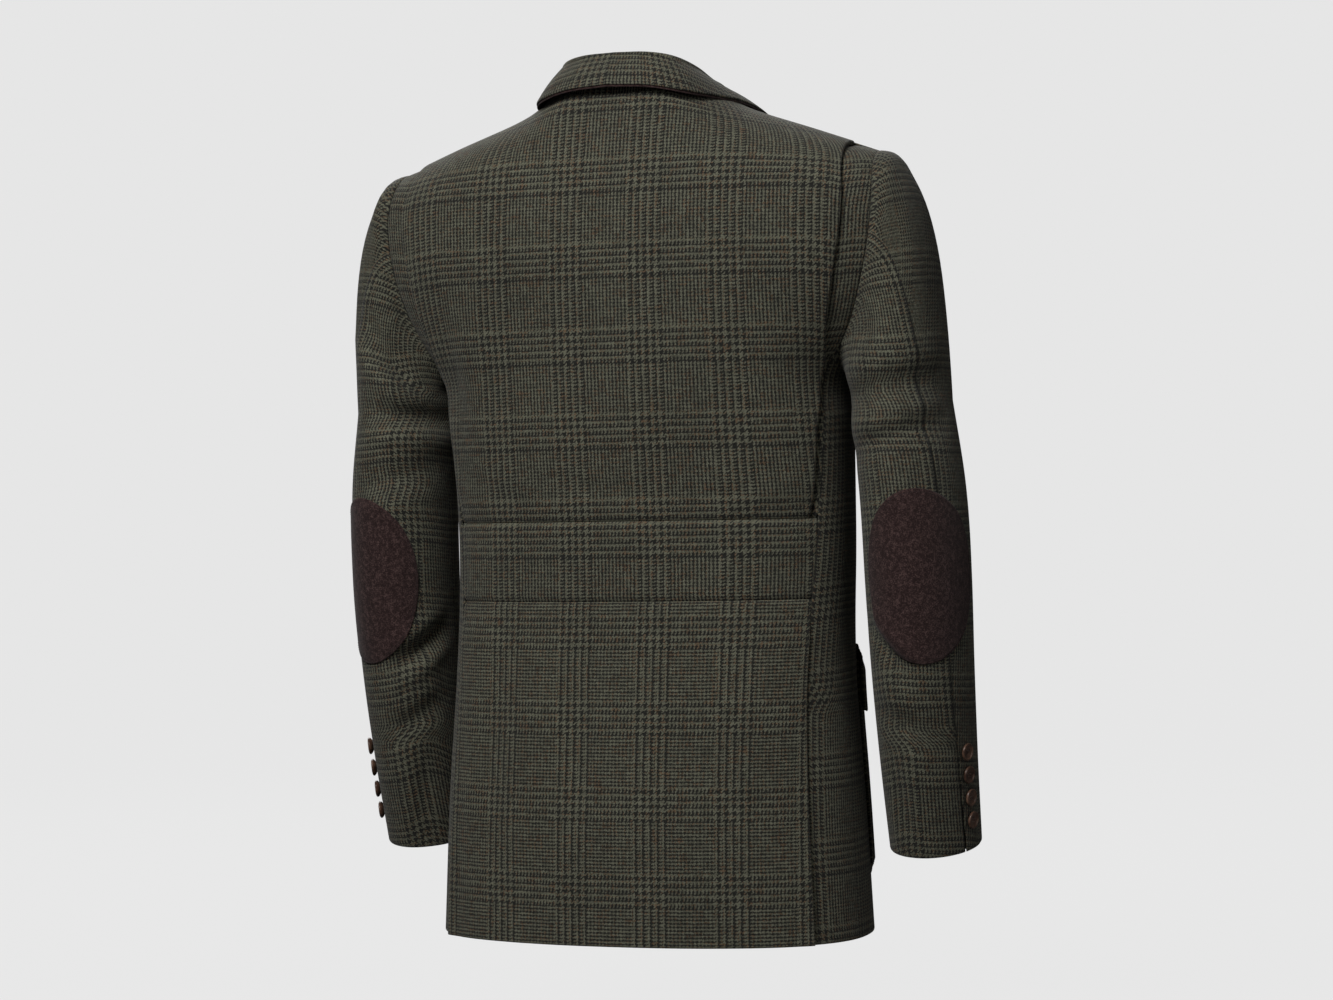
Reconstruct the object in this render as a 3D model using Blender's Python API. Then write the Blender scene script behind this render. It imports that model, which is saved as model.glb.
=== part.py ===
"""A single-breasted tweed jacket, filled out as when it is worn, with nothing inside it.

Metres, +Z up. The front faces -Y and the wearer's left is +X. The origin is the middle of the neck,
level with the points where the shoulder seams meet the collar.
"""

import bmesh
import bpy
import numpy as np

# Cloth and seams
WALL = 0.002
SEAM_GAP = 0.0003
HALF_GAP = SEAM_GAP / 2
LAYER_GAP = 0.0006

# Shoulders and neck
NECK_HALF_WIDTH = 0.074
NECK_RISE = 1.4
NECK_SOFTNESS = 0.012
BACK_NECK_HEIGHT = 0.012
SHOULDER_SLOPE = 0.36
SHOULDER_RISE = 0.0115
SHOULDER_HALF_WIDTH = 0.224
SHOULDER_ROUNDING = 0.07
SHOULDER_FULLNESS = 2.5
SECTION_SQUARENESS = 2.3
RIDGE_DROP = 3e-9

# Heights of the level seams and edges
BELT_TOP = -0.364
BELT_BOTTOM = -0.434
HEM = -0.733
VENT_TOP = -0.500
ARMHOLE_BACK_FOOT = -0.212
ARMHOLE_FLOOR = -0.236
ARMHOLE_FRONT_FOOT = -0.226
FRONT_SEAM_ANGLE = 100.0

# Pleats, vents and the front overlap
PLEAT_DEPTH = 0.030
PLEAT_PITCH = 0.0027
PLEAT_EASE = 0.075
VENT_UNDERLAP = 0.020
VENT_LIFT = 0.0028
FRONT_OVERLAP = 0.020
FRONT_TUCK = 0.0028

# Body sections from the hem up: the half width and the depths behind and in front of the shoulder seams
BODY_COLUMNS = ("height", "half_width", "back", "front")
BODY_SECTIONS = (
    (-0.735, 0.197, 0.120, 0.150),
    (-0.600, 0.190, 0.115, 0.146),
    (-0.500, 0.183, 0.104, 0.140),
    (-0.430, 0.180, 0.096, 0.134),
    (-0.360, 0.180, 0.096, 0.131),
    (-0.280, 0.185, 0.103, 0.130),
    (-0.235, 0.189, 0.106, 0.128),
    (-0.200, 0.213, 0.107, 0.125),
    (-0.150, 0.245, 0.108, 0.119),
    (-0.090, 0.260, 0.105, 0.110),
    (-0.040, 0.266, 0.096, 0.100),
    (0.030, 0.270, 0.078, 0.085),
)

# Seams and edges that cross the sections
SIDE_BACK_COLUMNS = ("height", "angle")
SIDE_BACK_SEAM = (
    (-0.735, 57.0),
    (-0.600, 58.0),
    (-0.434, 62.5),
    (-0.364, 65.5),
    (-0.300, 69.0),
    (-0.212, 71.0),
)
ARMHOLE_COLUMNS = ("height", "back_reach", "front_reach")
ARMHOLE = (
    (-0.226, 0.1930, 0.1905),
    (-0.212, 0.1955, 0.1890),
    (-0.190, 0.2060, 0.1890),
    (-0.150, 0.2195, 0.1950),
    (-0.090, 0.2285, 0.2120),
    (-0.0345, 0.2240, 0.2240),
)
PLEAT_COLUMNS = ("height", "reach")
PLEAT_FOLD = (
    (-0.364, 0.1600),
    (-0.270, 0.1715),
    (-0.210, 0.1835),
    (-0.150, 0.1975),
    (-0.095, 0.2050),
    (-0.040, 0.1985),
)
FRONT_EDGE_COLUMNS = ("height", "reach", "lapel_width")
FRONT_EDGE = (
    (-0.335, -0.0200, 0.0080),
    (-0.300, 0.0020, 0.0250),
    (-0.240, 0.0280, 0.0520),
    (-0.160, 0.0530, 0.0760),
    (-0.100, 0.0655, 0.0860),
    (-0.040, 0.0722, 0.0860),
    (0.008, 0.0740, 0.0860),
)

# Sleeve rings from the armpit down, square to the arm
SLEEVE_COLUMNS = ("height", "reach", "ahead", "half_width", "half_depth", "tilt")
SLEEVE_RINGS = (
    (-0.262, 0.2350, 0.002, 0.0430, 0.0690, 0.00),
    (-0.330, 0.2420, 0.006, 0.0450, 0.0655, 0.00),
    (-0.415, 0.2445, 0.003, 0.0455, 0.0620, 0.05),
    (-0.500, 0.2445, -0.008, 0.0440, 0.0580, 0.12),
    (-0.580, 0.2440, -0.025, 0.0420, 0.0540, 0.16),
    (-0.655, 0.2435, -0.045, 0.0400, 0.0500, 0.17),
)
CUFF = -0.655
BICEP = -0.262
CAP_REACH = 0.6
CAP_DROP = 1.2
HIND_SEAM_COLUMNS = ("height", "angle")
HIND_SEAM = (
    (-0.655, 29.0),
    (-0.540, 35.0),
    (-0.400, 40.0),
    (-0.260, 42.0),
    (-0.120, 48.0),
)
FORE_SEAM_ANGLE = 232.0
CUFF_VENT_TOP = -0.540
CUFF_VENT_OPENING = 0.0030

# Elbow patches
PATCH_CENTRE_HEIGHT = -0.412
PATCH_CENTRE_ANGLE = 66.0
PATCH_HALF_HEIGHT = 0.073
PATCH_HALF_ANGLE = 67.0
PATCH_THICKNESS = 0.0012
PATCH_GAP = 0.0009

# Collar stations from the centre back to the front ends: the foot inside, the fold on top, the outer edge
COLLAR_COLUMNS = (
    "along", "foot_x", "foot_y", "foot_z", "fold_x", "fold_y", "fold_z", "edge_x", "edge_y", "edge_z",
)
COLLAR_STATIONS = (
    (0.00, 0.0000, 0.0812, 0.0136, 0.0000, 0.0715, 0.0490, 0.0000, 0.0930, 0.0195),
    (0.20, 0.0310, 0.0805, 0.0152, 0.0300, 0.0690, 0.0480, 0.0390, 0.0895, 0.0170),
    (0.42, 0.0545, 0.0665, 0.0183, 0.0515, 0.0545, 0.0440, 0.0720, 0.0705, 0.0110),
    (0.60, 0.0695, 0.0290, 0.0222, 0.0600, 0.0245, 0.0380, 0.0880, 0.0340, 0.0095),
    (0.74, 0.0708, -0.0060, 0.0224, 0.0620, -0.0080, 0.0315, 0.0965, -0.0070, 0.0085),
    (0.88, 0.0698, -0.0440, 0.0180, 0.0640, -0.0480, 0.0250, 0.1045, -0.0480, -0.0005),
    (0.94, 0.0690, -0.0670, 0.0065, 0.0665, -0.0740, 0.0145, 0.1085, -0.0680, -0.0095),
    (1.00, 0.0675, -0.0915, -0.0205, 0.0690, -0.1000, -0.0105, 0.1110, -0.0890, -0.0230),
)
COLLAR_FOLD_RADIUS = 0.0032
COLLAR_BULGE = 0.0015
COLLAR_POINTS = 23

# Lapels: where they lie on the fronts
LAPEL_FOOT_OVER = -0.318
LAPEL_FOOT_UNDER = -0.292
LAPEL_HEAD = -0.034
GORGE_DROP = 0.040
LAPEL_ROLL = 0.0035

# Buttons
BUTTON_THICKNESS = 0.0040
CUFF_BUTTON_RADIUS = 0.0078
CUFF_BUTTON_HEIGHTS = (-0.566, -0.5865, -0.607, -0.6275)
CUFF_BUTTON_INSET = 9.5
FRONT_BUTTON_RADIUS = 0.0100
FRONT_BUTTON_HEIGHTS = (-0.350, -0.443, -0.536)

# Pockets on the fronts: a patch that stands off the cloth and a flap over its mouth
POCKET_TOP = -0.492
POCKET_BOTTOM = -0.690
POCKET_REAR_ANGLE = 109.0
POCKET_FORE_ANGLE = 147.0
POCKET_LIFT = 0.0045
POCKET_EDGE = 0.016
POCKET_CORNER = 0.030
FLAP_TOP = -0.478
FLAP_BOTTOM = -0.540
FLAP_OVERHANG = 0.6

# Heights of the mesh rows, as the seams meet them
SKIRT_ROWS = np.linspace(HEM, BELT_BOTTOM, 9)
BELT_ROWS = np.linspace(BELT_BOTTOM, BELT_TOP, 3)
FLANK_ROWS = np.linspace(BELT_TOP, ARMHOLE_BACK_FOOT, 6)
ARMHOLE_ROWS = np.array((0.156, 0.130, 0.102, 0.074, 0.050, 0.030, 0.014, 0.004, 0.0))
HIND_ROW = 3
FORE_ROW = 1
SIDE_COLUMNS = 9
SLEEVE_CAP_ROWS = 6
SLEEVE_LOWER_ROWS = 10
ELBOW_ROW = SLEEVE_CAP_ROWS + 4

# Plain finishes: colour, roughness
TWEED = ("tweed", (0.045, 0.042, 0.028), 0.92)
PATCH = ("elbow_patch", (0.030, 0.014, 0.013), 0.90)
HORN = ("button", (0.090, 0.045, 0.030), 0.45)


def smooth_columns(table, names, name, at):
    """A column of a table as a smooth curve over its first column."""
    rows = np.array(table)
    knots = rows[:, 0]
    values = rows[:, names.index(name)]
    slopes = np.gradient(values, knots)
    at = np.clip(np.asarray(at, float), knots[0], knots[-1])
    left = np.clip(np.searchsorted(knots, at) - 1, 0, len(knots) - 2)
    span = knots[left + 1] - knots[left]
    t = (at - knots[left]) / span
    start = (1 + 2 * t) * (1 - t) ** 2 * values[left] + t * (1 - t) ** 2 * span * slopes[left]
    end = t**2 * (3 - 2 * t) * values[left + 1] + t**2 * (t - 1) * span * slopes[left + 1]
    return start + end


def body_column(name, height):
    return smooth_columns(BODY_SECTIONS, BODY_COLUMNS, name, height)


def ease(value, low, high):
    """0 below low, 1 above high and a smooth step between them."""
    t = np.clip((np.asarray(value, float) - low) / (high - low), 0, 1)
    return t * t * (3 - 2 * t)


def shoulder_ridge(reach):
    """Height of the line where the back meets the front, from the neck out along the shoulder."""
    inside = (NECK_HALF_WIDTH - np.abs(reach)) / NECK_SOFTNESS
    climb = NECK_SOFTNESS * np.logaddexp(0, inside)
    slope = SHOULDER_SLOPE * (NECK_HALF_WIDTH - np.abs(reach))
    return SHOULDER_RISE + slope + (NECK_RISE - SHOULDER_SLOPE) * climb


def rounding(reach, height):
    """Share of the full depth that is left as the shoulder rounds over."""
    below = np.clip((shoulder_ridge(reach) - height) / SHOULDER_ROUNDING, 0, 1)
    return (1 - (1 - below) ** SHOULDER_FULLNESS) ** (1 / SHOULDER_FULLNESS)


def body_at_angle(angle, height):
    """A point of the left half. The angle in degrees runs from the centre back to the centre front."""
    angle = np.radians(angle)
    power = 2 / SECTION_SQUARENESS
    sine, cosine = np.sin(angle), np.cos(angle)
    x = body_column("half_width", height) * np.sign(sine) * np.abs(sine) ** power
    depth = np.where(cosine > 0, body_column("back", height), body_column("front", height))
    y = depth * np.sign(cosine) * np.abs(cosine) ** power * rounding(x, height)
    return np.stack(np.broadcast_arrays(x, y, height), axis=-1)


def angle_at_reach(reach, height, front=False):
    """The section angle at a distance from the middle, on the back or on the front."""
    share = np.clip(np.abs(reach) / body_column("half_width", height), 0, 1)
    angle = np.degrees(np.arcsin(share ** (SECTION_SQUARENESS / 2))) * np.sign(reach)
    return 180 - angle if front else angle


def body_at_reach(reach, height, front=False):
    return body_at_angle(angle_at_reach(reach, height, front), height)


def body_field(points):
    """Negative inside the body and positive outside it."""
    x, y, z = points[..., 0], points[..., 1], points[..., 2]
    depth = np.where(y > 0, body_column("back", z), body_column("front", z))
    across = np.clip(1 - (np.abs(x) / body_column("half_width", z)) ** SECTION_SQUARENESS, 0, 1)
    return (y / depth) ** 2 - across ** (2 / SECTION_SQUARENESS) * rounding(x, z) ** 2


def body_normals(points):
    """Unit normals of the body's smooth surface, pointing out."""
    step = 2e-5
    slopes = [body_field(points + step * axis) - body_field(points - step * axis) for axis in np.eye(3)]
    normals = np.stack(slopes, axis=-1)
    return normals / np.linalg.norm(normals, axis=-1, keepdims=True)


def grid_normals(points, closed=False):
    """Unit normals of a grid of rows by columns, from its own neighbours."""
    if closed:
        padded = np.concatenate([points[:, -1:], points, points[:, :1]], axis=1)
        across = np.gradient(padded, axis=1)[:, 1:-1]
    else:
        across = np.gradient(points, axis=1)
    normals = np.cross(across, np.gradient(points, axis=0))
    return normals / np.linalg.norm(normals, axis=-1, keepdims=True)


def mirrored(points, side):
    return points * np.array((side, 1.0, 1.0))


def make_material(finish):
    name, colour, roughness = finish
    material = bpy.data.materials.get(name)
    if material is None:
        material = bpy.data.materials.new(name)
        material.use_nodes = True
        shader = material.node_tree.nodes["Principled BSDF"]
        shader.inputs["Base Color"].default_value = (*colour, 1)
        shader.inputs["Roughness"].default_value = roughness
        shader.inputs["Metallic"].default_value = 0
    return material


def finish_mesh(name, points, faces, finish):
    """A named solid facing outwards, with its finish."""
    mesh = bpy.data.meshes.new(name)
    mesh.from_pydata(points.tolist(), [], [tuple(int(i) for i in face) for face in faces])
    mesh.update()
    work = bmesh.new()
    work.from_mesh(mesh)
    if work.calc_volume(signed=True) < 0:
        bmesh.ops.reverse_faces(work, faces=work.faces)
    work.to_mesh(mesh)
    work.free()
    mesh.shade_smooth()
    mesh.set_sharp_from_angle(angle=np.radians(50))
    mesh.materials.append(make_material(finish))
    part = bpy.data.objects.new(name, mesh)
    jacket.objects.link(part)
    return part


def cloth_wall(name, outer, inner, finish, closed_rows=False):
    """A closed wall lofted between two grids of points, each rows by columns."""
    rows, columns = outer.shape[:2]
    count = rows * columns
    points = np.concatenate([outer.reshape(-1, 3), inner.reshape(-1, 3)])
    index = np.arange(count).reshape(rows, columns)
    if closed_rows:
        index = np.concatenate([index, index[:, :1]], axis=1)
    faces = []
    for r in range(index.shape[0] - 1):
        for c in range(index.shape[1] - 1):
            quad = (index[r, c], index[r, c + 1], index[r + 1, c + 1], index[r + 1, c])
            faces.append(quad)
            faces.append(tuple(count + i for i in reversed(quad)))
    rims = [list(index[0])[::-1], list(index[-1])]
    if not closed_rows:
        rims.append(list(index[:, 0]))
        rims.append(list(index[:, -1])[::-1])
    for rim in rims:
        for first, second in zip(rim[:-1], rim[1:]):
            faces.append((first, second, count + second, count + first))
    return finish_mesh(name, points, faces, finish)


def panel_wall(name, surface, side, finish=TWEED, lift=0.0, thickness=WALL):
    """A wall on the body's surface: its outer face stands off by lift and it thickens inwards."""
    normals = body_normals(surface)
    lift = np.asarray(lift, float)[..., None] * normals
    outer = mirrored(surface + lift, side)
    inner = mirrored(surface + lift - thickness * normals, side)
    return cloth_wall(name, outer, inner, finish)


def back_top(reach):
    """Height of the back's upper edge: the neck seam, then the shoulder seam."""
    share = np.clip(np.abs(reach) / NECK_HALF_WIDTH, 0, 1)
    neck_point = shoulder_ridge(NECK_HALF_WIDTH)
    neck = BACK_NECK_HEIGHT + (neck_point - BACK_NECK_HEIGHT) * share**2
    return np.where(np.abs(reach) < NECK_HALF_WIDTH, neck, shoulder_ridge(reach)) - RIDGE_DROP


def side_seam_angle(height):
    return smooth_columns(SIDE_BACK_SEAM, SIDE_BACK_COLUMNS, "angle", height)


def armhole_heights(foot):
    """Heights of the rows from the foot of the armhole up to the shoulder seam."""
    tip = back_top(SHOULDER_HALF_WIDTH)
    return tip - ARMHOLE_ROWS * (tip - foot) / (ARMHOLE_ROWS[0] + 0.012)


def back_edge_reach(height):
    """Half width of the back: to the side seam low down and to the armhole above it."""
    if height <= ARMHOLE_BACK_FOOT:
        return body_at_angle(side_seam_angle(height), height)[..., 0]
    return smooth_columns(ARMHOLE, ARMHOLE_COLUMNS, "back_reach", height)


def pleat_section(edge, fold):
    """The back's cross-section from the centre to the armhole: distances out and offsets from the body.

    The cloth runs out to the fold, returns under itself by the pleat's depth and runs out again.
    """
    resting = -WALL / 2
    radius = PLEAT_PITCH / 2
    low = resting - PLEAT_PITCH / 2
    top = low + 2 * PLEAT_PITCH
    root = fold - PLEAT_DEPTH
    turn = np.radians((30, -30))
    over = np.linspace(0, fold - radius, 9)
    under = np.array((fold - radius, root + radius))
    again = np.concatenate([(root + radius,), np.linspace(fold - 0.002, edge, 4)])
    reach = (
        over,
        fold - radius + radius * np.cos(turn),
        under,
        root + radius - radius * np.cos(turn),
        again,
    )
    offset = (
        resting + (top - resting) * ease(over, root - PLEAT_EASE, root),
        top - radius + radius * np.sin(turn),
        np.full(2, top - PLEAT_PITCH),
        low + radius + radius * np.sin(turn),
        low + (resting - low) * ease(again, fold, edge),
    )
    return np.concatenate(reach), np.concatenate(offset)


def back_upper():
    """The upper back from armhole to armhole, with an action pleat folded down each side."""
    tip = back_top(SHOULDER_HALF_WIDTH)
    heights = np.concatenate([FLANK_ROWS, armhole_heights(ARMHOLE_BACK_FOOT)])
    heights[0] += HALF_GAP
    outer, inner = [], []
    for edge_height in heights:
        share = (edge_height - heights[0]) / (tip - heights[0])
        edge = back_edge_reach(edge_height) - HALF_GAP
        fold = smooth_columns(PLEAT_FOLD, PLEAT_COLUMNS, "reach", edge_height)
        reach, offset = pleat_section(edge, min(fold, edge - 0.003))
        top = back_top(reach / edge * SHOULDER_HALF_WIDTH)
        reach_scaled = np.where(share == 1, reach / edge * SHOULDER_HALF_WIDTH, reach)
        height = heights[0] + share * (top - heights[0])
        middle = body_at_reach(reach_scaled, height)
        normals = body_normals(middle)
        slope = np.stack([np.gradient(reach), np.gradient(offset)], axis=-1)
        slope[-1] = (1, 0)
        slope = slope / np.linalg.norm(slope, axis=-1, keepdims=True)
        lateral = np.array((1.0, 0.0, 0.0)) - normals * normals[:, :1]
        lateral = lateral / np.linalg.norm(lateral, axis=-1, keepdims=True)
        facing = slope[:, :1] * normals - slope[:, 1:] * lateral
        middle = middle + offset[:, None] * normals
        for grid, sign in ((outer, 1), (inner, -1)):
            half = middle + sign * WALL / 2 * facing
            grid.append(np.concatenate([mirrored(half[:0:-1], -1), half]))
    return cloth_wall("back_upper", np.array(outer), np.array(inner), TWEED)


def back_band(name, rows, lift):
    """A full-width piece of the lower back, from one side seam to the other."""
    heights = rows[:, None].copy()
    heights[0] += HALF_GAP
    heights[-1] -= HALF_GAP
    edge = side_seam_angle(heights) - np.degrees(HALF_GAP / body_column("half_width", heights))
    angles = edge * np.linspace(-1, 1, 17)[None, :]
    surface = body_at_angle(angles, np.broadcast_to(heights, angles.shape))
    return panel_wall(name, surface, 1, lift=lift(angles, edge, heights))


def no_lift(angles, edge, heights):
    return np.zeros_like(angles)


def vent_lift(angles, edge, heights):
    """The back stands over the side panels along the vents."""
    near_edge = ease(np.abs(angles) / edge, 0.45, 0.85)
    return VENT_LIFT * near_edge * ease(-heights, -VENT_TOP - 0.060, -VENT_TOP - 0.025)


def flank_shares():
    """Rows of the side panel from the hem to the foot of the armhole, as shares of its height."""
    heights = np.concatenate([SKIRT_ROWS, BELT_ROWS[1:], FLANK_ROWS[1:]])
    return (heights - HEM) / (ARMHOLE_BACK_FOOT - HEM)


def armhole_floor(shares):
    """Upper edge of the side panel from its back seam to its front seam."""
    chord = ARMHOLE_BACK_FOOT + (ARMHOLE_FRONT_FOOT - ARMHOLE_BACK_FOOT) * shares
    sag = (ARMHOLE_BACK_FOOT + ARMHOLE_FRONT_FOOT) / 2 - ARMHOLE_FLOOR
    return chord - sag * 4 * shares * (1 - shares)


def side_surface():
    """The panel under the arm, with the vent's underlap along its lower back edge."""
    shares = np.linspace(0, 1, SIDE_COLUMNS)[None, :]
    heights = HEM + flank_shares()[:, None] * (armhole_floor(shares) - HEM)
    width = body_column("half_width", heights)
    underlap = VENT_UNDERLAP * ease(-heights, -VENT_TOP, -VENT_TOP + 0.030)
    rear = side_seam_angle(heights) + np.degrees((HALF_GAP - underlap) / width)
    fore = FRONT_SEAM_ANGLE - np.degrees(HALF_GAP / width)
    return body_at_angle(rear + shares * (fore - rear), heights)


def front_edge_reach(height):
    """Distance of the front edge from the middle: the overlap low down, the lapel's roll above it."""
    roll = smooth_columns(FRONT_EDGE, FRONT_EDGE_COLUMNS, "reach", height)
    return np.where(height < FRONT_EDGE[0][0], -FRONT_OVERLAP, roll)


def front_surface():
    """A front from the side seam and the armhole to the front edge and the lapel's roll."""
    shares = np.sin(np.linspace(0, np.pi / 2, 13))[None, :]
    low = HEM + flank_shares() * (ARMHOLE_FRONT_FOOT - HEM)
    rear_heights = np.concatenate([low, armhole_heights(ARMHOLE_FRONT_FOOT)])[:, None]
    rows = (rear_heights - HEM) / (rear_heights[-1] - HEM)
    top = shoulder_ridge(NECK_HALF_WIDTH + shares * (SHOULDER_HALF_WIDTH - NECK_HALF_WIDTH)) - RIDGE_DROP
    heights = HEM + rows * (top - HEM)
    width = body_column("half_width", rear_heights)
    seam_angle = FRONT_SEAM_ANGLE + np.degrees(HALF_GAP / width)
    seam = body_at_angle(seam_angle, rear_heights)[..., 0]
    armhole = smooth_columns(ARMHOLE, ARMHOLE_COLUMNS, "front_reach", rear_heights) - HALF_GAP
    rear = np.where(rear_heights <= ARMHOLE_FRONT_FOOT + 1e-9, seam, armhole)
    edge = front_edge_reach(heights[:, :1])
    edge[-1] = NECK_HALF_WIDTH
    rear[-1] = SHOULDER_HALF_WIDTH
    return body_at_reach(edge + (rear - edge) * shares, heights, front=True)


def front_tuck(surface):
    """The right front lies under the left one along the front edge."""
    return -FRONT_TUCK * (1 - ease(surface[..., 0], 0.022, 0.060))


def armhole_loop(side_panel, front_panel):
    """The armhole's edge from the shoulder tip down the back, under the arm and up the front.

    It uses the panels' own edge points. Returns the points, and the places of the two sleeve seams.
    """
    heights = armhole_heights(ARMHOLE_BACK_FOOT)[::-1]
    back = np.array([body_at_reach(back_edge_reach(height), height) for height in heights])
    front = front_panel[-len(ARMHOLE_ROWS) : -1, -1]
    loop = np.concatenate([back, side_panel[-1], front])
    return loop, len(back) - 1 - HIND_ROW, len(loop) - len(front) + FORE_ROW


def sleeve_column(name, height):
    return smooth_columns(SLEEVE_RINGS[::-1], SLEEVE_COLUMNS, name, height)


def sleeve_ring(angle, height):
    """A point on the arm below the armpit. The angle in degrees runs from the outside to the back."""
    angle = np.radians(angle)
    x = sleeve_column("reach", height) + sleeve_column("half_width", height) * np.cos(angle)
    back = sleeve_column("half_depth", height) * np.sin(angle)
    z = height - sleeve_column("tilt", height) * back
    return np.stack(np.broadcast_arrays(x, sleeve_column("ahead", height) + back, z), axis=-1)


def sleeve_normals(angle, height):
    """Unit normals of the arm, pointing out."""
    step = 0.05
    around = sleeve_ring(angle + step, height) - sleeve_ring(angle - step, height)
    down = sleeve_ring(angle, height - 1e-4) - sleeve_ring(angle, height + 1e-4)
    normals = np.cross(down, around)
    return normals / np.linalg.norm(normals, axis=-1, keepdims=True)


def hind_seam_angle(height):
    return smooth_columns(HIND_SEAM, HIND_SEAM_COLUMNS, "angle", height)


def sleeve_angles(loop, hind, fore, height):
    """Ring angles of the loop's points: the shoulder tip stays outside and the two seams keep their lines."""
    centre = loop.mean(axis=0)
    turn = np.degrees(np.arctan2(loop[:, 1] - loop[0, 1], loop[:, 2] - centre[2])) % 360
    turn[0] = 0
    marks = (0, turn[hind], turn[fore], 360)
    places = (0, hind_seam_angle(height), FORE_SEAM_ANGLE, 360)
    return np.interp(turn, marks, places)


def sleeve_surface(loop, hind, fore):
    """The whole sleeve as rows from the armhole to the cuff, each a closed ring."""
    angles = sleeve_angles(loop, hind, fore, BICEP)
    ring = sleeve_ring(angles, BICEP)
    turned = np.radians(angles)
    leave = np.stack([np.ones_like(turned), 0.3 * np.sin(turned), -0.3 * np.clip(np.cos(turned), 0, 1)], axis=-1)
    leave = leave / np.linalg.norm(leave, axis=-1, keepdims=True)
    start = loop + 2 * SEAM_GAP * leave
    span = np.linalg.norm(ring - start, axis=-1, keepdims=True)
    drop = np.array((0.0, 0.0, -1.0)) * span
    rows = []
    for t in np.linspace(0, 1, SLEEVE_CAP_ROWS + 1)[:-1]:
        t = t**1.3
        row = (1 + 2 * t) * (1 - t) ** 2 * start + t * (1 - t) ** 2 * CAP_REACH * span * leave
        rows.append(row + t**2 * (3 - 2 * t) * ring + t**2 * (t - 1) * CAP_DROP * drop)
    for height in np.linspace(BICEP, CUFF, SLEEVE_LOWER_ROWS):
        rows.append(sleeve_ring(sleeve_angles(loop, hind, fore, height), height))
    return np.array(rows)


def sleeve_pieces(label, side, loop, hind, fore):
    """The top sleeve over the arm and the under sleeve below it, with an open vent at the cuff.

    Each is two solids that meet at the elbow, so that the arm's hollow stays clear in collision.
    """
    surface = sleeve_surface(loop, hind, fore)
    normals = -grid_normals(surface, closed=True)
    count = surface.shape[1]
    heights = surface[..., 2].mean(axis=1)
    opening = CUFF_VENT_OPENING * ease(-heights, -CUFF_VENT_TOP, -CUFF)[:, None]
    pieces = (
        ("sleeve_top_", np.arange(fore, hind + count + 1) % count, HALF_GAP, HALF_GAP),
        ("sleeve_under_", np.arange(hind, fore + 1), HALF_GAP + opening, HALF_GAP),
    )
    for name, columns, first_gap, last_gap in pieces:
        points = surface[:, columns].copy()
        facing = normals[:, columns]
        first = points[:, 1] - points[:, 0]
        last = points[:, -2] - points[:, -1]
        points[:, 0] += first_gap * first / np.linalg.norm(first, axis=-1, keepdims=True)
        points[:, -1] += last_gap * last / np.linalg.norm(last, axis=-1, keepdims=True)
        outer = mirrored(points, side)
        inner = mirrored(points - WALL * facing, side)
        halves = (name, slice(None, ELBOW_ROW + 1), -1, -2), (name + "lower_", slice(ELBOW_ROW, None), 0, 1)
        for half, rows, end, beside in halves:
            faces = []
            for grid in (outer, inner):
                part = grid[rows].copy()
                along = part[beside] - part[end]
                part[end] += HALF_GAP * along / np.linalg.norm(along, axis=-1, keepdims=True)
                faces.append(part)
            cloth_wall(half + label, *faces, TWEED)


def elbow_patch(label, side):
    """An oval patch laid over the back of the elbow."""
    u, v = np.meshgrid(np.linspace(-1, 1, 9), np.linspace(-1, 1, 9))
    across = u * np.sqrt(1 - v**2 / 2)
    up = v * np.sqrt(1 - u**2 / 2)
    angles = PATCH_CENTRE_ANGLE + PATCH_HALF_ANGLE * across
    heights = PATCH_CENTRE_HEIGHT + PATCH_HALF_HEIGHT * up
    surface = sleeve_ring(angles, heights)
    normals = sleeve_normals(angles, heights)
    inner = surface + PATCH_GAP * normals
    outer = inner + PATCH_THICKNESS * normals
    cloth_wall("elbow_patch_" + label, mirrored(outer, side), mirrored(inner, side), PATCH)


def button(name, centre, facing, radius, side):
    """A turned button with a raised rim, standing on the cloth."""
    centre = mirrored(np.asarray(centre), side)
    facing = mirrored(np.asarray(facing), side)
    across = np.cross(facing, (0.0, 0.0, 1.0))
    across = across / np.linalg.norm(across)
    upward = np.cross(across, facing)
    profile = (
        (0.35, 0.00),
        (0.62, 0.00),
        (1.00, 0.55),
        (1.00, 0.80),
        (0.90, 1.00),
        (0.72, 0.72),
        (0.35, 0.66),
    )
    turn = np.linspace(0, 2 * np.pi, 13)[:-1]
    spokes = np.cos(turn)[:, None] * across + np.sin(turn)[:, None] * upward
    rows = []
    for reach, lift in profile:
        rows.append(centre + reach * radius * spokes + lift * BUTTON_THICKNESS * facing)
    rows = np.array(rows)
    count = len(turn)
    points = rows.reshape(-1, 3)
    faces = []
    for r in range(len(rows) - 1):
        for c in range(count):
            d = (c + 1) % count
            faces.append((r * count + c, r * count + d, (r + 1) * count + d, (r + 1) * count + c))
    faces.append(tuple(reversed(range(count))))
    faces.append(tuple(range((len(rows) - 1) * count, len(rows) * count)))
    return finish_mesh(name, points, faces, HORN)


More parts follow.
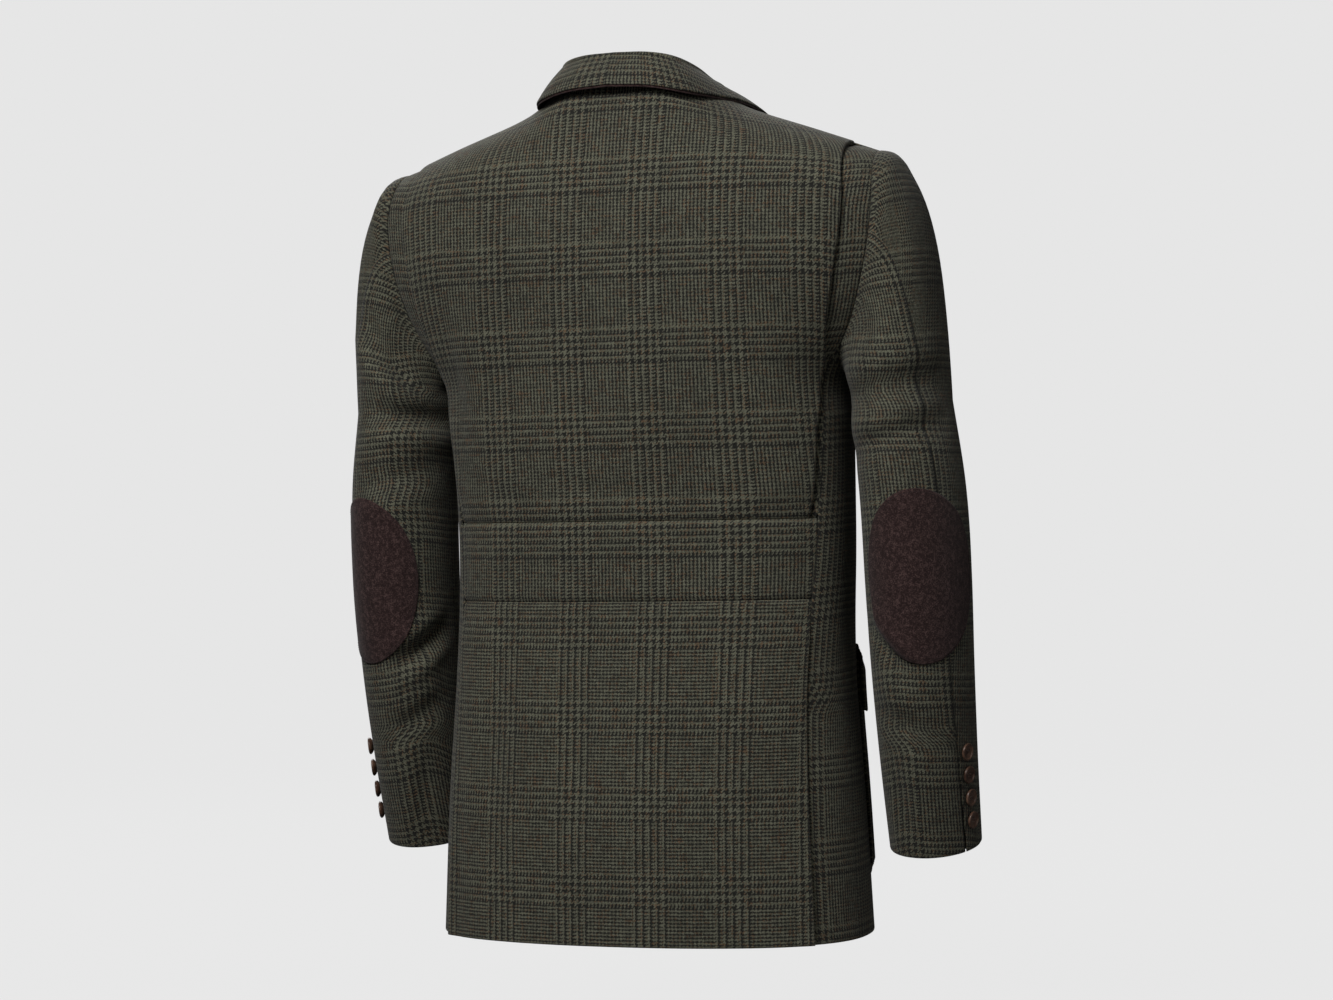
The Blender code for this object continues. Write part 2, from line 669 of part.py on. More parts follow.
def collar_middle():
    """The middle of the collar's cloth: rows around the neck, columns from the foot over the fold to the edge."""
    along = np.linspace(-1, 1, COLLAR_POINTS)

    def place(part):
        axes = [smooth_columns(COLLAR_STATIONS, COLLAR_COLUMNS, f"{part}_{axis}", np.abs(along)) for axis in "xyz"]
        return np.stack([np.sign(along) * axes[0], axes[1], axes[2]], axis=-1)

    foot, fold, edge = place("foot"), place("fold"), place("edge")
    outward = edge - fold
    outward[:, 2] = 0
    outward = outward / np.linalg.norm(outward, axis=-1, keepdims=True)
    up = np.array((0.0, 0.0, 1.0))
    turn = [
        fold + COLLAR_FOLD_RADIUS * (np.sin(bend) * outward + (np.cos(bend) - 1) * up)
        for bend in np.radians((-90, -45, 0, 45, 90))
    ]
    stand = [foot, (foot + turn[0]) / 2]
    fall = []
    for share in (0.33, 0.67, 1.0):
        bulge = COLLAR_BULGE * np.sin(np.pi * share) * (outward + 0.5 * up)
        fall.append(turn[-1] + share * (edge - turn[-1]) + bulge)
    return np.stack(stand + turn + fall, axis=1)


def collar():
    """The stand and the fall of the collar in one folded piece."""
    middle = collar_middle()
    normals = grid_normals(middle)
    half = WALL / 2 * normals
    return cloth_wall("collar", middle + half, middle - half, TWEED)


def lapel(label, side):
    """The front's edge turned back over the chest, from the break up to the gorge."""
    rows = np.sin(np.linspace(0, np.pi / 2, 11))[:, None]
    shares = np.linspace(0, 1, 6)[None, :]
    low = LAPEL_FOOT_OVER if side > 0 else LAPEL_FOOT_UNDER
    roll_height = low + rows * (LAPEL_HEAD - low)
    start = front_edge_reach(roll_height) + 0.0004
    width = smooth_columns(FRONT_EDGE, FRONT_EDGE_COLUMNS, "lapel_width", roll_height)
    heights = roll_height - GORGE_DROP * shares * ease(rows, 0.0, 1.0)
    surface = body_at_reach(start + width * shares, heights, front=True)
    lift = WALL + 2 * LAYER_GAP + LAPEL_ROLL * (1 - shares) ** 2 * np.ones_like(rows)
    if side < 0:
        lift = lift + front_tuck(surface)
    return panel_wall("lapel_" + label, surface, side, lift=lift)


def pocket_grid(top, bottom, rear, fore, corner, rows, columns):
    """Angles and heights of a patch on a front, with its lower corners rounded, and each point's edge distance."""
    shares = np.linspace(0, 1, columns)[None, :]
    shares = shares - 0.06 * np.sin(2 * np.pi * shares)
    width = np.radians(fore - rear) * body_column("front", (top + bottom) / 2) * 1.2
    from_side = np.minimum(shares, 1 - shares) * width
    round_off = np.clip(1 - from_side / corner, 0, 1)
    floor = bottom + corner * (1 - np.sqrt(1 - round_off**2))
    heights = floor + np.linspace(0, 1, rows)[:, None] * (top - floor)
    angles = np.broadcast_to(rear + shares * (fore - rear), heights.shape)
    near = np.minimum(np.broadcast_to(from_side, heights.shape), np.minimum(heights - floor, top - heights))
    return angles, heights, near


def pocket(label, side):
    """A patch pocket that stands off the front, open at the top."""
    angles, heights, near = pocket_grid(
        POCKET_TOP, POCKET_BOTTOM, POCKET_REAR_ANGLE, POCKET_FORE_ANGLE, POCKET_CORNER, 9, 9
    )
    lift = WALL + LAYER_GAP + POCKET_LIFT * ease(near, 0, POCKET_EDGE)
    return panel_wall("pocket_" + label, body_at_angle(angles, heights), side, lift=lift)


def pocket_flap(label, side):
    """The flap over the pocket's mouth."""
    angles, heights, near = pocket_grid(
        FLAP_TOP,
        FLAP_BOTTOM,
        POCKET_REAR_ANGLE - FLAP_OVERHANG,
        POCKET_FORE_ANGLE + FLAP_OVERHANG,
        POCKET_CORNER / 2,
        7,
        9,
    )
    over = 2 * WALL + 2.5 * LAYER_GAP
    depth = FLAP_TOP - heights
    lift = WALL + LAYER_GAP + (over - WALL) * ease(depth, 0.001, 0.013) + POCKET_LIFT * ease(depth, 0.006, 0.026)
    return panel_wall("pocket_flap_" + label, body_at_angle(angles, heights), side, lift=lift)


def main():
    back_upper()
    back_band("back_belt", BELT_ROWS, no_lift)
    back_band("back_skirt", SKIRT_ROWS, vent_lift)
    collar()
    side_panel = side_surface()
    front_panel = front_surface()
    loop, hind, fore = armhole_loop(side_panel, front_panel)
    for label, side in (("left", 1), ("right", -1)):
        panel_wall("side_" + label, side_panel, side)
        tuck = front_tuck(front_panel) if side < 0 else np.zeros(front_panel.shape[:2])
        panel_wall("front_" + label, front_panel, side, lift=tuck)
        lapel(label, side)
        pocket(label, side)
        pocket_flap(label, side)
        sleeve_pieces(label, side, loop, hind, fore)
        elbow_patch(label, side)
        for number, height in enumerate(CUFF_BUTTON_HEIGHTS, 1):
            angle = hind_seam_angle(height) - CUFF_BUTTON_INSET
            facing = sleeve_normals(angle, height)
            centre = sleeve_ring(angle, height) + LAYER_GAP * facing
            button(f"cuff_button_{label}_{number}", centre, facing, CUFF_BUTTON_RADIUS, side)
    for number, height in enumerate(FRONT_BUTTON_HEIGHTS, 1):
        place = body_at_angle(180.0, np.array(height))
        facing = body_normals(place)
        button(f"front_button_{number}", place + LAYER_GAP * facing, facing, FRONT_BUTTON_RADIUS, 1)


for old in list(bpy.data.objects):
    bpy.data.objects.remove(old)
jacket = bpy.data.collections.new("tweed_jacket")
bpy.context.scene.collection.children.link(jacket)
main()
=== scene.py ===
"""The visible surfaces of a tweed jacket: cloth with creases and a woven check, stitches and buttons.

Metres, +Z up. The front faces -Y and the wearer's left is +X. The origin is the middle of the neck,
level with the points where the shoulder seams meet the collar.
"""

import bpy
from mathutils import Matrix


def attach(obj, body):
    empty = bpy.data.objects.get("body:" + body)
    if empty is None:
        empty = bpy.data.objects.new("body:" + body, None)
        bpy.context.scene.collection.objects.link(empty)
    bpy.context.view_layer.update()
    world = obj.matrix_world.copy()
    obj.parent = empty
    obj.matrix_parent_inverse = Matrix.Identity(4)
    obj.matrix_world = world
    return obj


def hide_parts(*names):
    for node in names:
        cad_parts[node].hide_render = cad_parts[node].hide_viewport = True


bl_info = {
    "name": "Tweed Jacket",
    "version": (1, 0, 0),
    "blender": (4, 5, 0),
    "location": "3D View > Sidebar > Jacket",
    "description": "Builds the cloth, patches, stitches and buttons of a tweed jacket",
    "category": "Add Mesh",
}

import bmesh
import bpy
import numpy as np
from mathutils import Matrix, Vector

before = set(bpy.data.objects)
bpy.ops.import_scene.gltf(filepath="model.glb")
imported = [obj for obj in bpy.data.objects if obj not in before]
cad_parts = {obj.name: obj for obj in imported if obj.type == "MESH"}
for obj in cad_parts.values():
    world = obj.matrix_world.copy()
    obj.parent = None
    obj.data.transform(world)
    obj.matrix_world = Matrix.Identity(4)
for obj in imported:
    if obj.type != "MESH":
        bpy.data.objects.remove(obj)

# Cloth and seams
SIDES = (("left", 1), ("right", -1))
WALL = 0.002
SEAM_INSET = -0.0002
LAYER_GAP = 0.0006

# Shoulders and neck
NECK_HALF_WIDTH = 0.074
NECK_RISE = 1.4
NECK_SOFTNESS = 0.012
BACK_NECK_HEIGHT = 0.012
SHOULDER_SLOPE = 0.36
SHOULDER_RISE = 0.0115
SHOULDER_HALF_WIDTH = 0.224
SHOULDER_ROUNDING = 0.07
SHOULDER_FULLNESS = 2.5
SECTION_SQUARENESS = 2.3
RIDGE_DROP = 3e-9

# Heights of the level seams and edges
BELT_TOP = -0.364
BELT_BOTTOM = -0.434
HEM = -0.733
VENT_TOP = -0.500
ARMHOLE_BACK_FOOT = -0.212
ARMHOLE_FLOOR = -0.236
ARMHOLE_FRONT_FOOT = -0.226
FRONT_SEAM_ANGLE = 100.0

# Pleats, vents and the front overlap
PLEAT_DEPTH = 0.030
PLEAT_PITCH = 0.0027
PLEAT_EASE = 0.075
VENT_UNDERLAP = 0.020
VENT_LIFT = 0.0028
VENT_FLARE = 0.0030
FRONT_OVERLAP = 0.020
FRONT_TUCK = 0.0028
FRONT_TUCK_REACHES = (0.022, 0.060)

# Body sections from the hem up: the half width and the depths behind and in front of the shoulder seams
BODY_COLUMNS = ("height", "half_width", "back", "front")
BODY_SECTIONS = (
    (-0.735, 0.197, 0.120, 0.150),
    (-0.600, 0.190, 0.115, 0.146),
    (-0.500, 0.183, 0.104, 0.140),
    (-0.430, 0.180, 0.096, 0.134),
    (-0.360, 0.180, 0.096, 0.131),
    (-0.280, 0.185, 0.103, 0.130),
    (-0.235, 0.189, 0.106, 0.128),
    (-0.200, 0.213, 0.107, 0.125),
    (-0.150, 0.245, 0.108, 0.119),
    (-0.090, 0.260, 0.105, 0.110),
    (-0.040, 0.266, 0.096, 0.100),
    (0.030, 0.270, 0.078, 0.085),
)

# Seams and edges that cross the sections
SIDE_BACK_COLUMNS = ("height", "angle")
SIDE_BACK_SEAM = (
    (-0.735, 57.0),
    (-0.600, 58.0),
    (-0.434, 62.5),
    (-0.364, 65.5),
    (-0.300, 69.0),
    (-0.212, 71.0),
)
ARMHOLE_COLUMNS = ("height", "back_reach", "front_reach")
ARMHOLE = (
    (-0.226, 0.1930, 0.1905),
    (-0.212, 0.1955, 0.1890),
    (-0.190, 0.2060, 0.1890),
    (-0.150, 0.2195, 0.1950),
    (-0.090, 0.2285, 0.2120),
    (-0.0345, 0.2240, 0.2240),
)
PLEAT_COLUMNS = ("height", "reach")
PLEAT_FOLD = (
    (-0.364, 0.1600),
    (-0.270, 0.1715),
    (-0.210, 0.1835),
    (-0.150, 0.1975),
    (-0.095, 0.2050),
    (-0.040, 0.1985),
)
FRONT_EDGE_COLUMNS = ("height", "reach", "lapel_width")
FRONT_EDGE = (
    (-0.335, -0.0200, 0.0080),
    (-0.300, 0.0020, 0.0250),
    (-0.240, 0.0280, 0.0520),
    (-0.160, 0.0530, 0.0760),
    (-0.100, 0.0655, 0.0860),
    (-0.040, 0.0722, 0.0860),
    (0.008, 0.0740, 0.0860),
)

# Sleeve rings from the armpit down, square to the arm
SLEEVE_COLUMNS = ("height", "reach", "ahead", "half_width", "half_depth", "tilt")
SLEEVE_RINGS = (
    (-0.262, 0.2350, 0.002, 0.0430, 0.0690, 0.00),
    (-0.330, 0.2420, 0.006, 0.0450, 0.0655, 0.00),
    (-0.415, 0.2445, 0.003, 0.0455, 0.0620, 0.05),
    (-0.500, 0.2445, -0.008, 0.0440, 0.0580, 0.12),
    (-0.580, 0.2440, -0.025, 0.0420, 0.0540, 0.16),
    (-0.655, 0.2435, -0.045, 0.0400, 0.0500, 0.17),
)
CUFF = -0.655
BICEP = -0.262
CAP_REACH = 0.6
CAP_DROP = 1.2
CAP_LEAN = 0.3
HIND_SEAM_COLUMNS = ("height", "angle")
HIND_SEAM = (
    (-0.655, 29.0),
    (-0.540, 35.0),
    (-0.400, 40.0),
    (-0.260, 42.0),
    (-0.120, 48.0),
)
FORE_SEAM_ANGLE = 232.0
CUFF_VENT_TOP = -0.540
CUFF_VENT_OPENING = 0.0030

# Elbow patches
PATCH_CENTRE_HEIGHT = -0.412
PATCH_CENTRE_ANGLE = 66.0
PATCH_HALF_HEIGHT = 0.073
PATCH_HALF_ANGLE = 67.0
PATCH_THICKNESS = 0.0012

# Collar stations from the centre back to the front ends: the foot inside, the fold on top, the outer edge
COLLAR_COLUMNS = (
    "along", "foot_x", "foot_y", "foot_z", "fold_x", "fold_y", "fold_z", "edge_x", "edge_y", "edge_z",
)
COLLAR_STATIONS = (
    (0.00, 0.0000, 0.0812, 0.0136, 0.0000, 0.0715, 0.0490, 0.0000, 0.0930, 0.0195),
    (0.20, 0.0310, 0.0805, 0.0152, 0.0300, 0.0690, 0.0480, 0.0390, 0.0895, 0.0170),
    (0.42, 0.0545, 0.0665, 0.0183, 0.0515, 0.0545, 0.0440, 0.0720, 0.0705, 0.0110),
    (0.60, 0.0695, 0.0290, 0.0222, 0.0600, 0.0245, 0.0380, 0.0880, 0.0340, 0.0095),
    (0.74, 0.0708, -0.0060, 0.0224, 0.0620, -0.0080, 0.0315, 0.0965, -0.0070, 0.0085),
    (0.88, 0.0698, -0.0440, 0.0180, 0.0640, -0.0480, 0.0250, 0.1045, -0.0480, -0.0005),
    (0.94, 0.0690, -0.0670, 0.0065, 0.0665, -0.0740, 0.0145, 0.1085, -0.0680, -0.0095),
    (1.00, 0.0675, -0.0915, -0.0205, 0.0690, -0.1000, -0.0105, 0.1110, -0.0890, -0.0230),
)
COLLAR_FOLD_RADIUS = 0.0032
COLLAR_BULGE = 0.0015

# Lapels: where they lie on the fronts
LAPEL_FOOT_OVER = -0.318
LAPEL_FOOT_UNDER = -0.292
LAPEL_HEAD = -0.034
GORGE_DROP = 0.040
LAPEL_ROLL = 0.0035

# Buttons
BUTTON_THICKNESS = 0.0040
CUFF_BUTTON_RADIUS = 0.0078
CUFF_BUTTON_HEIGHTS = (-0.566, -0.5865, -0.607, -0.6275)
CUFF_BUTTON_INSET = 9.5
FRONT_BUTTON_RADIUS = 0.0100
FRONT_BUTTON_HEIGHTS = (-0.350, -0.443, -0.536)

# Pockets on the fronts: a patch that stands off the cloth and a flap over its mouth
POCKET_TOP = -0.492
POCKET_BOTTOM = -0.690
POCKET_REAR_ANGLE = 109.0
POCKET_FORE_ANGLE = 147.0
POCKET_LIFT = 0.0045
POCKET_EDGE = 0.016
POCKET_CORNER = 0.030
FLAP_TOP = -0.478
FLAP_BOTTOM = -0.540
FLAP_OVERHANG = 0.6

# Fine rows and columns of the visible cloth
ARMHOLE_ROWS = np.array((0.156, 0.130, 0.102, 0.074, 0.050, 0.030, 0.014, 0.004, 0.0))
HIND_ROW = 3
FORE_ROW = 1
FINER = 4
BACK_ROWS = 36
BELT_ROWS = 23
SKIRT_ROWS = 78
BAND_COLUMNS = 121
SIDE_ROWS = 110
FRONT_ROWS = 100
FRONT_COLUMNS = 64
CAP_ROWS = 25
ARM_ROWS = 80
COLLAR_STEPS = 111
LAPEL_ROWS = 60
LAPEL_COLUMNS = 22
POCKET_ROWS = 45
FLAP_ROWS = 23
POCKET_COLUMNS = 37
PATCH_STEPS = 45
BUTTON_STEPS = 41

# How folds, seams and laps lie
PLEAT_TUCK = 0.0040
PLEAT_TUCK_RISE = 0.035
PLEAT_TUCK_AT_SHOULDER = 0.7
BACK_GROOVE = 1.7
SEAM_DIP = 0.0024
SEAM_DIP_WIDTH = 0.0026
COLLAR_TUCK = 0.007
UNDERCOLLAR_REACH = 0.0016
UNDERCOLLAR_THICKNESS = 0.0009
UNDERCOLLAR_GAP = 0.0001
LAPEL_GAP = 0.0004
CUFF_UNDERLAP = 0.012
SLEEVE_HEAD_ROLL = 0.0030
SLEEVE_HEAD_PLACE = 0.013
SLEEVE_HEAD_SPREAD = 0.011
SLEEVE_HEAD_ANGLE = 15
CUFF_UNDERLAP_SINK = 0.0042
CUFF_VENT_RUN = 0.02
UNDER_SLEEVE_SINK = 0.0006
UNDER_SLEEVE_LAP = 0.0002
UNDER_SLEEVE_WEAVE_SHIFT = 0.018

# How the jacket hangs: the arms' swing and the fuller right side
SLEEVE_SWING = 0.0060
SWING_HEIGHTS = (0.16, 0.40)
WAIST_EASE = 0.0075
WAIST_EASE_HEIGHT = -0.375
WAIST_EASE_SPREAD = 0.10
WAIST_EASE_REACHES = (0.06, 0.17)

# Rounded edges: rows beside an edge, how far they sink, and limits to both as shares
EDGE_STEPS = (0.0007, 0.0018)
EDGE_SINK = (0.00065, 0.00020)
EDGE_MOST = (0.3, 0.6)
EDGE_SINK_MOST = 0.45

# Soft creases: x and z of one end and of the other, half width and depth. A negative depth is a ridge.
BACK_CREASES = (
    (0.168, -0.150, 0.150, -0.300, 0.0140, 0.0026),
    (0.120, -0.090, 0.150, -0.200, 0.0150, 0.0014),
    (-0.095, -0.085, -0.128, -0.230, 0.0160, 0.0015),
    (0.070, -0.326, -0.040, -0.344, 0.0100, 0.0013),
    (0.150, -0.318, 0.085, -0.352, 0.0090, 0.0016),
    (-0.140, -0.322, -0.072, -0.349, 0.0090, 0.0014),
    (0.030, -0.515, 0.026, -0.630, 0.0110, 0.0030),
    (0.108, -0.455, 0.124, -0.640, 0.0180, 0.0022),
    (-0.078, -0.470, -0.098, -0.670, 0.0170, 0.0020),
    (-0.034, -0.600, -0.042, -0.720, 0.0140, 0.0012),
    (0.070, -0.650, 0.074, -0.725, 0.0120, 0.0014),
)
LEFT_FRONT_CREASES = (
    (0.165, -0.245, 0.055, -0.330, 0.0130, 0.0026),
    (0.125, -0.345, 0.040, -0.352, 0.0110, 0.0018),
    (0.150, -0.415, 0.060, -0.372, 0.0140, 0.0016),
    (0.060, -0.560, 0.052, -0.700, 0.0160, 0.0018),
)
RIGHT_FRONT_CREASES = (
    (0.160, -0.262, 0.062, -0.322, 0.0120, 0.0022),
    (0.130, -0.352, 0.048, -0.346, 0.0100, 0.0020),
    (0.140, -0.430, 0.072, -0.385, 0.0150, 0.0014),
    (0.048, -0.590, 0.055, -0.715, 0.0170, 0.0016),
)

# The same on the arms, with angles in degrees round the arm in place of x
RIGHT_SLEEVE_CREASES = (
    (110.0, -0.158, 152.0, -0.208, 0.0110, 0.0056),
    (156.0, -0.262, 6.0, -0.241, 0.0116, 0.0076),
    (150.0, -0.307, 22.0, -0.283, 0.0099, 0.0056),
    (128.0, -0.226, 60.0, -0.213, 0.0132, -0.0026),
    (144.0, -0.452, 86.0, -0.494, 0.0088, 0.0056),
    (136.0, -0.526, 64.0, -0.546, 0.0110, 0.0036),
    (118.0, -0.560, 104.0, -0.640, 0.0132, 0.0030),
    (236.0, -0.394, 300.0, -0.428, 0.0085, 0.0030),
    (226.0, -0.436, 286.0, -0.470, 0.0090, 0.0026),
    (246.0, -0.352, 312.0, -0.366, 0.0080, 0.0020),
)
LEFT_SLEEVE_CREASES = (
    (54.0, -0.176, 146.0, -0.246, 0.0127, 0.0092),
    (74.0, -0.262, 176.0, -0.270, 0.0116, 0.0096),
    (60.0, -0.330, 150.0, -0.316, 0.0121, 0.0043),
    (164.0, -0.456, 104.0, -0.486, 0.0088, 0.0073),
    (162.0, -0.476, 96.0, -0.506, 0.0077, -0.0036),
    (150.0, -0.522, 88.0, -0.548, 0.0099, 0.0043),
    (126.0, -0.566, 112.0, -0.642, 0.0132, 0.0030),
    (232.0, -0.388, 298.0, -0.420, 0.0090, 0.0030),
    (240.0, -0.440, 304.0, -0.462, 0.0085, 0.0026),
    (228.0, -0.346, 290.0, -0.372, 0.0080, 0.0018),
)
FRONT_CREASES = {"left": LEFT_FRONT_CREASES, "right": RIGHT_FRONT_CREASES}
SLEEVE_CREASES = {"left": LEFT_SLEEVE_CREASES, "right": RIGHT_SLEEVE_CREASES}
CREASE_RIDGE = 0.4
CREASE_RIDGE_PLACE = 1.7
CREASE_END_DEPTH = 0.3
METRES_PER_DEGREE = 0.00095
METRES_PER_POCKET_DEGREE = 0.0025

# Weave: yarns in each zone of the check and the yarns' spacing
WARP_YARNS = (40, 48)
WEFT_YARNS = (40, 56)
WARP_SPACING = 0.00083
WEFT_SPACING = 0.00078
BACK_WEAVE_SHIFT = 0.0531
BELT_WEAVE_SHIFT = 0.021
SKIRT_WEAVE_SHIFT = 0.026
FLECK_YARNS = 9

# Noises of the materials: scale, detail and roughness
WANDER_NOISE = (420.0, 3.0, 0.6)
BROAD_NOISE = (9.0, 2.0, 0.5)
FIBRE_NOISE = (900.0, 4.0, 0.7)
CLUMP_NOISE = (260.0, 3.0, 0.6)
HORN_NOISE = (170.0, 4.0, 0.6)

# Camera, fitted to the photo's angle
CAMERA_AZIMUTH = 200.0
CAMERA_DISTANCE = 3.0
CAMERA_HEIGHT = -0.3455
CAMERA_ROLL = 0.965
CAMERA_LENS = 89.8
CAMERA_SHIFT = 0.0128

# Lights: how far to the camera's right, towards it and up from the middle of the jacket, side and power
LIGHTS = (
    ("key", -1.3, 2.5, 2.3, 1.3, 105.0),
    ("fill", 2.0, 2.6, 0.6, 2.0, 11.0),
    ("front", -0.5, -2.4, 1.9, 1.6, 60.0),
)
WORLD_STRENGTH = 0.05

# Stage: a floor that curves up into a backdrop
FLOOR_HEIGHT = -0.86
STAGE_GLOW = 0.787
STAGE_RADIUS = 1.6
STAGE_NEAR = -1.0
STAGE_FAR = 3.4
STAGE_HALF_WIDTH = 6.0
STAGE_TOP = 5.0

# Sewing
PATCH_LIFT = 0.0003
PATCH_STITCH_INSET = 0.0030

# A button from its middle to its rim: radius and height of the face and of the foot, as shares
BUTTON_FACE = ((0, 0.64), (0.3, 0.65), (0.42, 0.7), (0.72, 0.76), (0.84, 0.96), (0.92, 1), (1, 0.82))
BUTTON_FOOT = ((0.0, -0.28), (0.20, -0.28), (0.32, 0.0), (0.62, 0.0), (0.9, 0.35), (1.0, 0.62))
BUTTON_HOLES = ((0.17, 0.17), (-0.17, 0.17), (-0.17, -0.17), (0.17, -0.17))
BUTTON_HOLE_RADII = (0.066, 0.11)
BUTTON_HOLE_DEPTH = 0.5


def smooth_columns(table, names, name, at):
    """A column of a table as a smooth curve over its first column."""
    rows = np.array(table)
    knots = rows[:, 0]
    values = rows[:, names.index(name)]
    slopes = np.gradient(values, knots)
    at = np.clip(np.asarray(at, float), knots[0], knots[-1])
    left = np.clip(np.searchsorted(knots, at) - 1, 0, len(knots) - 2)
    span = knots[left + 1] - knots[left]
    t = (at - knots[left]) / span
    start = (1 + 2 * t) * (1 - t) ** 2 * values[left] + t * (1 - t) ** 2 * span * slopes[left]
    end = t**2 * (3 - 2 * t) * values[left + 1] + t**2 * (t - 1) * span * slopes[left + 1]
    return start + end


def body_column(name, height):
    return smooth_columns(BODY_SECTIONS, BODY_COLUMNS, name, height)


def ease(value, low, high):
    """0 below low, 1 above high and a smooth step between them."""
    t = np.clip((np.asarray(value, float) - low) / (high - low), 0, 1)
    return t * t * (3 - 2 * t)


def unit(vectors):
    return vectors / np.linalg.norm(vectors, axis=-1, keepdims=True)


def spacing(points, axis):
    """Distances between neighbours in a grid of points."""
    return np.linalg.norm(np.diff(points, axis=axis), axis=-1)


def running(steps, axis):
    """Totals of the steps so far, from zero."""
    return np.cumsum(np.insert(steps, 0, 0, axis=axis), axis=axis)


def two_layers(outer, inner):
    return np.concatenate([outer.reshape(-1, 3), inner.reshape(-1, 3)])


def shoulder_ridge(reach):
    """Height of the line where the back meets the front, from the neck out along the shoulder."""
    inside = (NECK_HALF_WIDTH - np.abs(reach)) / NECK_SOFTNESS
    climb = NECK_SOFTNESS * np.logaddexp(0, inside)
    slope = SHOULDER_SLOPE * (NECK_HALF_WIDTH - np.abs(reach))
    return SHOULDER_RISE + slope + (NECK_RISE - SHOULDER_SLOPE) * climb


def rounding(reach, height):
    """Share of the full depth that is left as the shoulder rounds over."""
    below = np.clip((shoulder_ridge(reach) - height) / SHOULDER_ROUNDING, 0, 1)
    return (1 - (1 - below) ** SHOULDER_FULLNESS) ** (1 / SHOULDER_FULLNESS)


def body_at_angle(angle, height):
    """A point of the left half. The angle in degrees runs from the centre back to the centre front."""
    angle = np.radians(angle)
    power = 2 / SECTION_SQUARENESS
    sine, cosine = np.sin(angle), np.cos(angle)
    x = body_column("half_width", height) * np.sign(sine) * np.abs(sine) ** power
    depth = np.where(cosine > 0, body_column("back", height), body_column("front", height))
    y = depth * np.sign(cosine) * np.abs(cosine) ** power * rounding(x, height)
    return np.stack(np.broadcast_arrays(x, y, height), axis=-1)


def angle_at_reach(reach, height, front=False):
    """The section angle at a distance from the middle, on the back or on the front."""
    share = np.clip(np.abs(reach) / body_column("half_width", height), 0, 1)
    angle = np.degrees(np.arcsin(share ** (SECTION_SQUARENESS / 2))) * np.sign(reach)
    return 180 - angle if front else angle


def body_at_reach(reach, height, front=False):
    return body_at_angle(angle_at_reach(reach, height, front), height)


def body_field(points):
    """Negative inside the body and positive outside it."""
    x, y, z = points[..., 0], points[..., 1], points[..., 2]
    depth = np.where(y > 0, body_column("back", z), body_column("front", z))
    across = np.clip(1 - (np.abs(x) / body_column("half_width", z)) ** SECTION_SQUARENESS, 0, 1)
    return (y / depth) ** 2 - across ** (2 / SECTION_SQUARENESS) * rounding(x, z) ** 2


def body_normals(points):
    """Unit normals of the body's smooth surface, pointing out."""
    step = 2e-5
    slopes = [body_field(points + step * axis) - body_field(points - step * axis) for axis in np.eye(3)]
    return unit(np.stack(slopes, axis=-1))


def grid_normals(points, closed=False):
    """Unit normals of a grid of rows by columns, from its own neighbours."""
    if closed:
        padded = np.concatenate([points[:, -1:], points, points[:, :1]], axis=1)
        across = np.gradient(padded, axis=1)[:, 1:-1]
    else:
        across = np.gradient(points, axis=1)
    return unit(np.cross(across, np.gradient(points, axis=0)))


def mirrored(points, side):
    return points * np.array((side, 1.0, 1.0))


def finer(values, times=FINER):
    """The same run of values with more steps between each pair."""
    values = np.asarray(values, float)
    places = np.arange(len(values))
    return np.interp(np.linspace(0, len(values) - 1, times * (len(values) - 1) + 1), places, values)


def crease_depth(across, up, creases):
    """How far soft creases press the cloth in: a trough along each, with a low ridge beside it."""
    depth = np.zeros(np.broadcast(across, up).shape)
    for x_1, z_1, x_2, z_2, width, deep in creases:
        run, rise = x_2 - x_1, z_2 - z_1
        length = np.hypot(run, rise)
        along = ((across - x_1) * run + (up - z_1) * rise) / length**2
        beside = ((across - x_1) * rise - (up - z_1) * run) / length
        beyond = np.maximum(np.abs(along - 0.5) - 0.5, 0) * length
        fade = CREASE_END_DEPTH + (1 - CREASE_END_DEPTH) * np.sin(np.pi * np.clip(along, 0, 1)) ** 0.8
        trough = np.exp(-((beside / width) ** 2) - (beyond / width) ** 2)
        flank = np.exp(-(((beside - CREASE_RIDGE_PLACE * width) / width) ** 2) - (beyond / width) ** 2)
        depth += deep * fade * (trough - CREASE_RIDGE * flank)
    return depth


def sleeve_crease_depth(angle, height, creases):
    """The same on an arm, where the table gives angles round it."""
    depth = np.zeros(np.broadcast(angle, height).shape)
    for angle_1, z_1, angle_2, z_2, width, deep in creases:
        middle = (angle_1 + angle_2) / 2
        across = ((angle - middle + 180) % 360 - 180) * METRES_PER_DEGREE
        ends = (angle_1 - middle) * METRES_PER_DEGREE, (angle_2 - middle) * METRES_PER_DEGREE
        depth += crease_depth(across, height, ((ends[0], z_1, ends[1], z_2, width, deep),))
    return depth


def cloth_lengths(points, middle_column=0):
    """Lengths across and along the cloth in metres, from one column and from the first row's height."""
    across = np.diff(points, axis=1)
    along = np.diff(points, axis=0)
    u = running(np.hypot(across[..., 0], across[..., 1]), 1)
    v = running(np.hypot(along[..., 1], along[..., 2]), 0)
    return np.stack([u - u[:, middle_column : middle_column + 1], v + points[0, :, 2]], axis=-1)


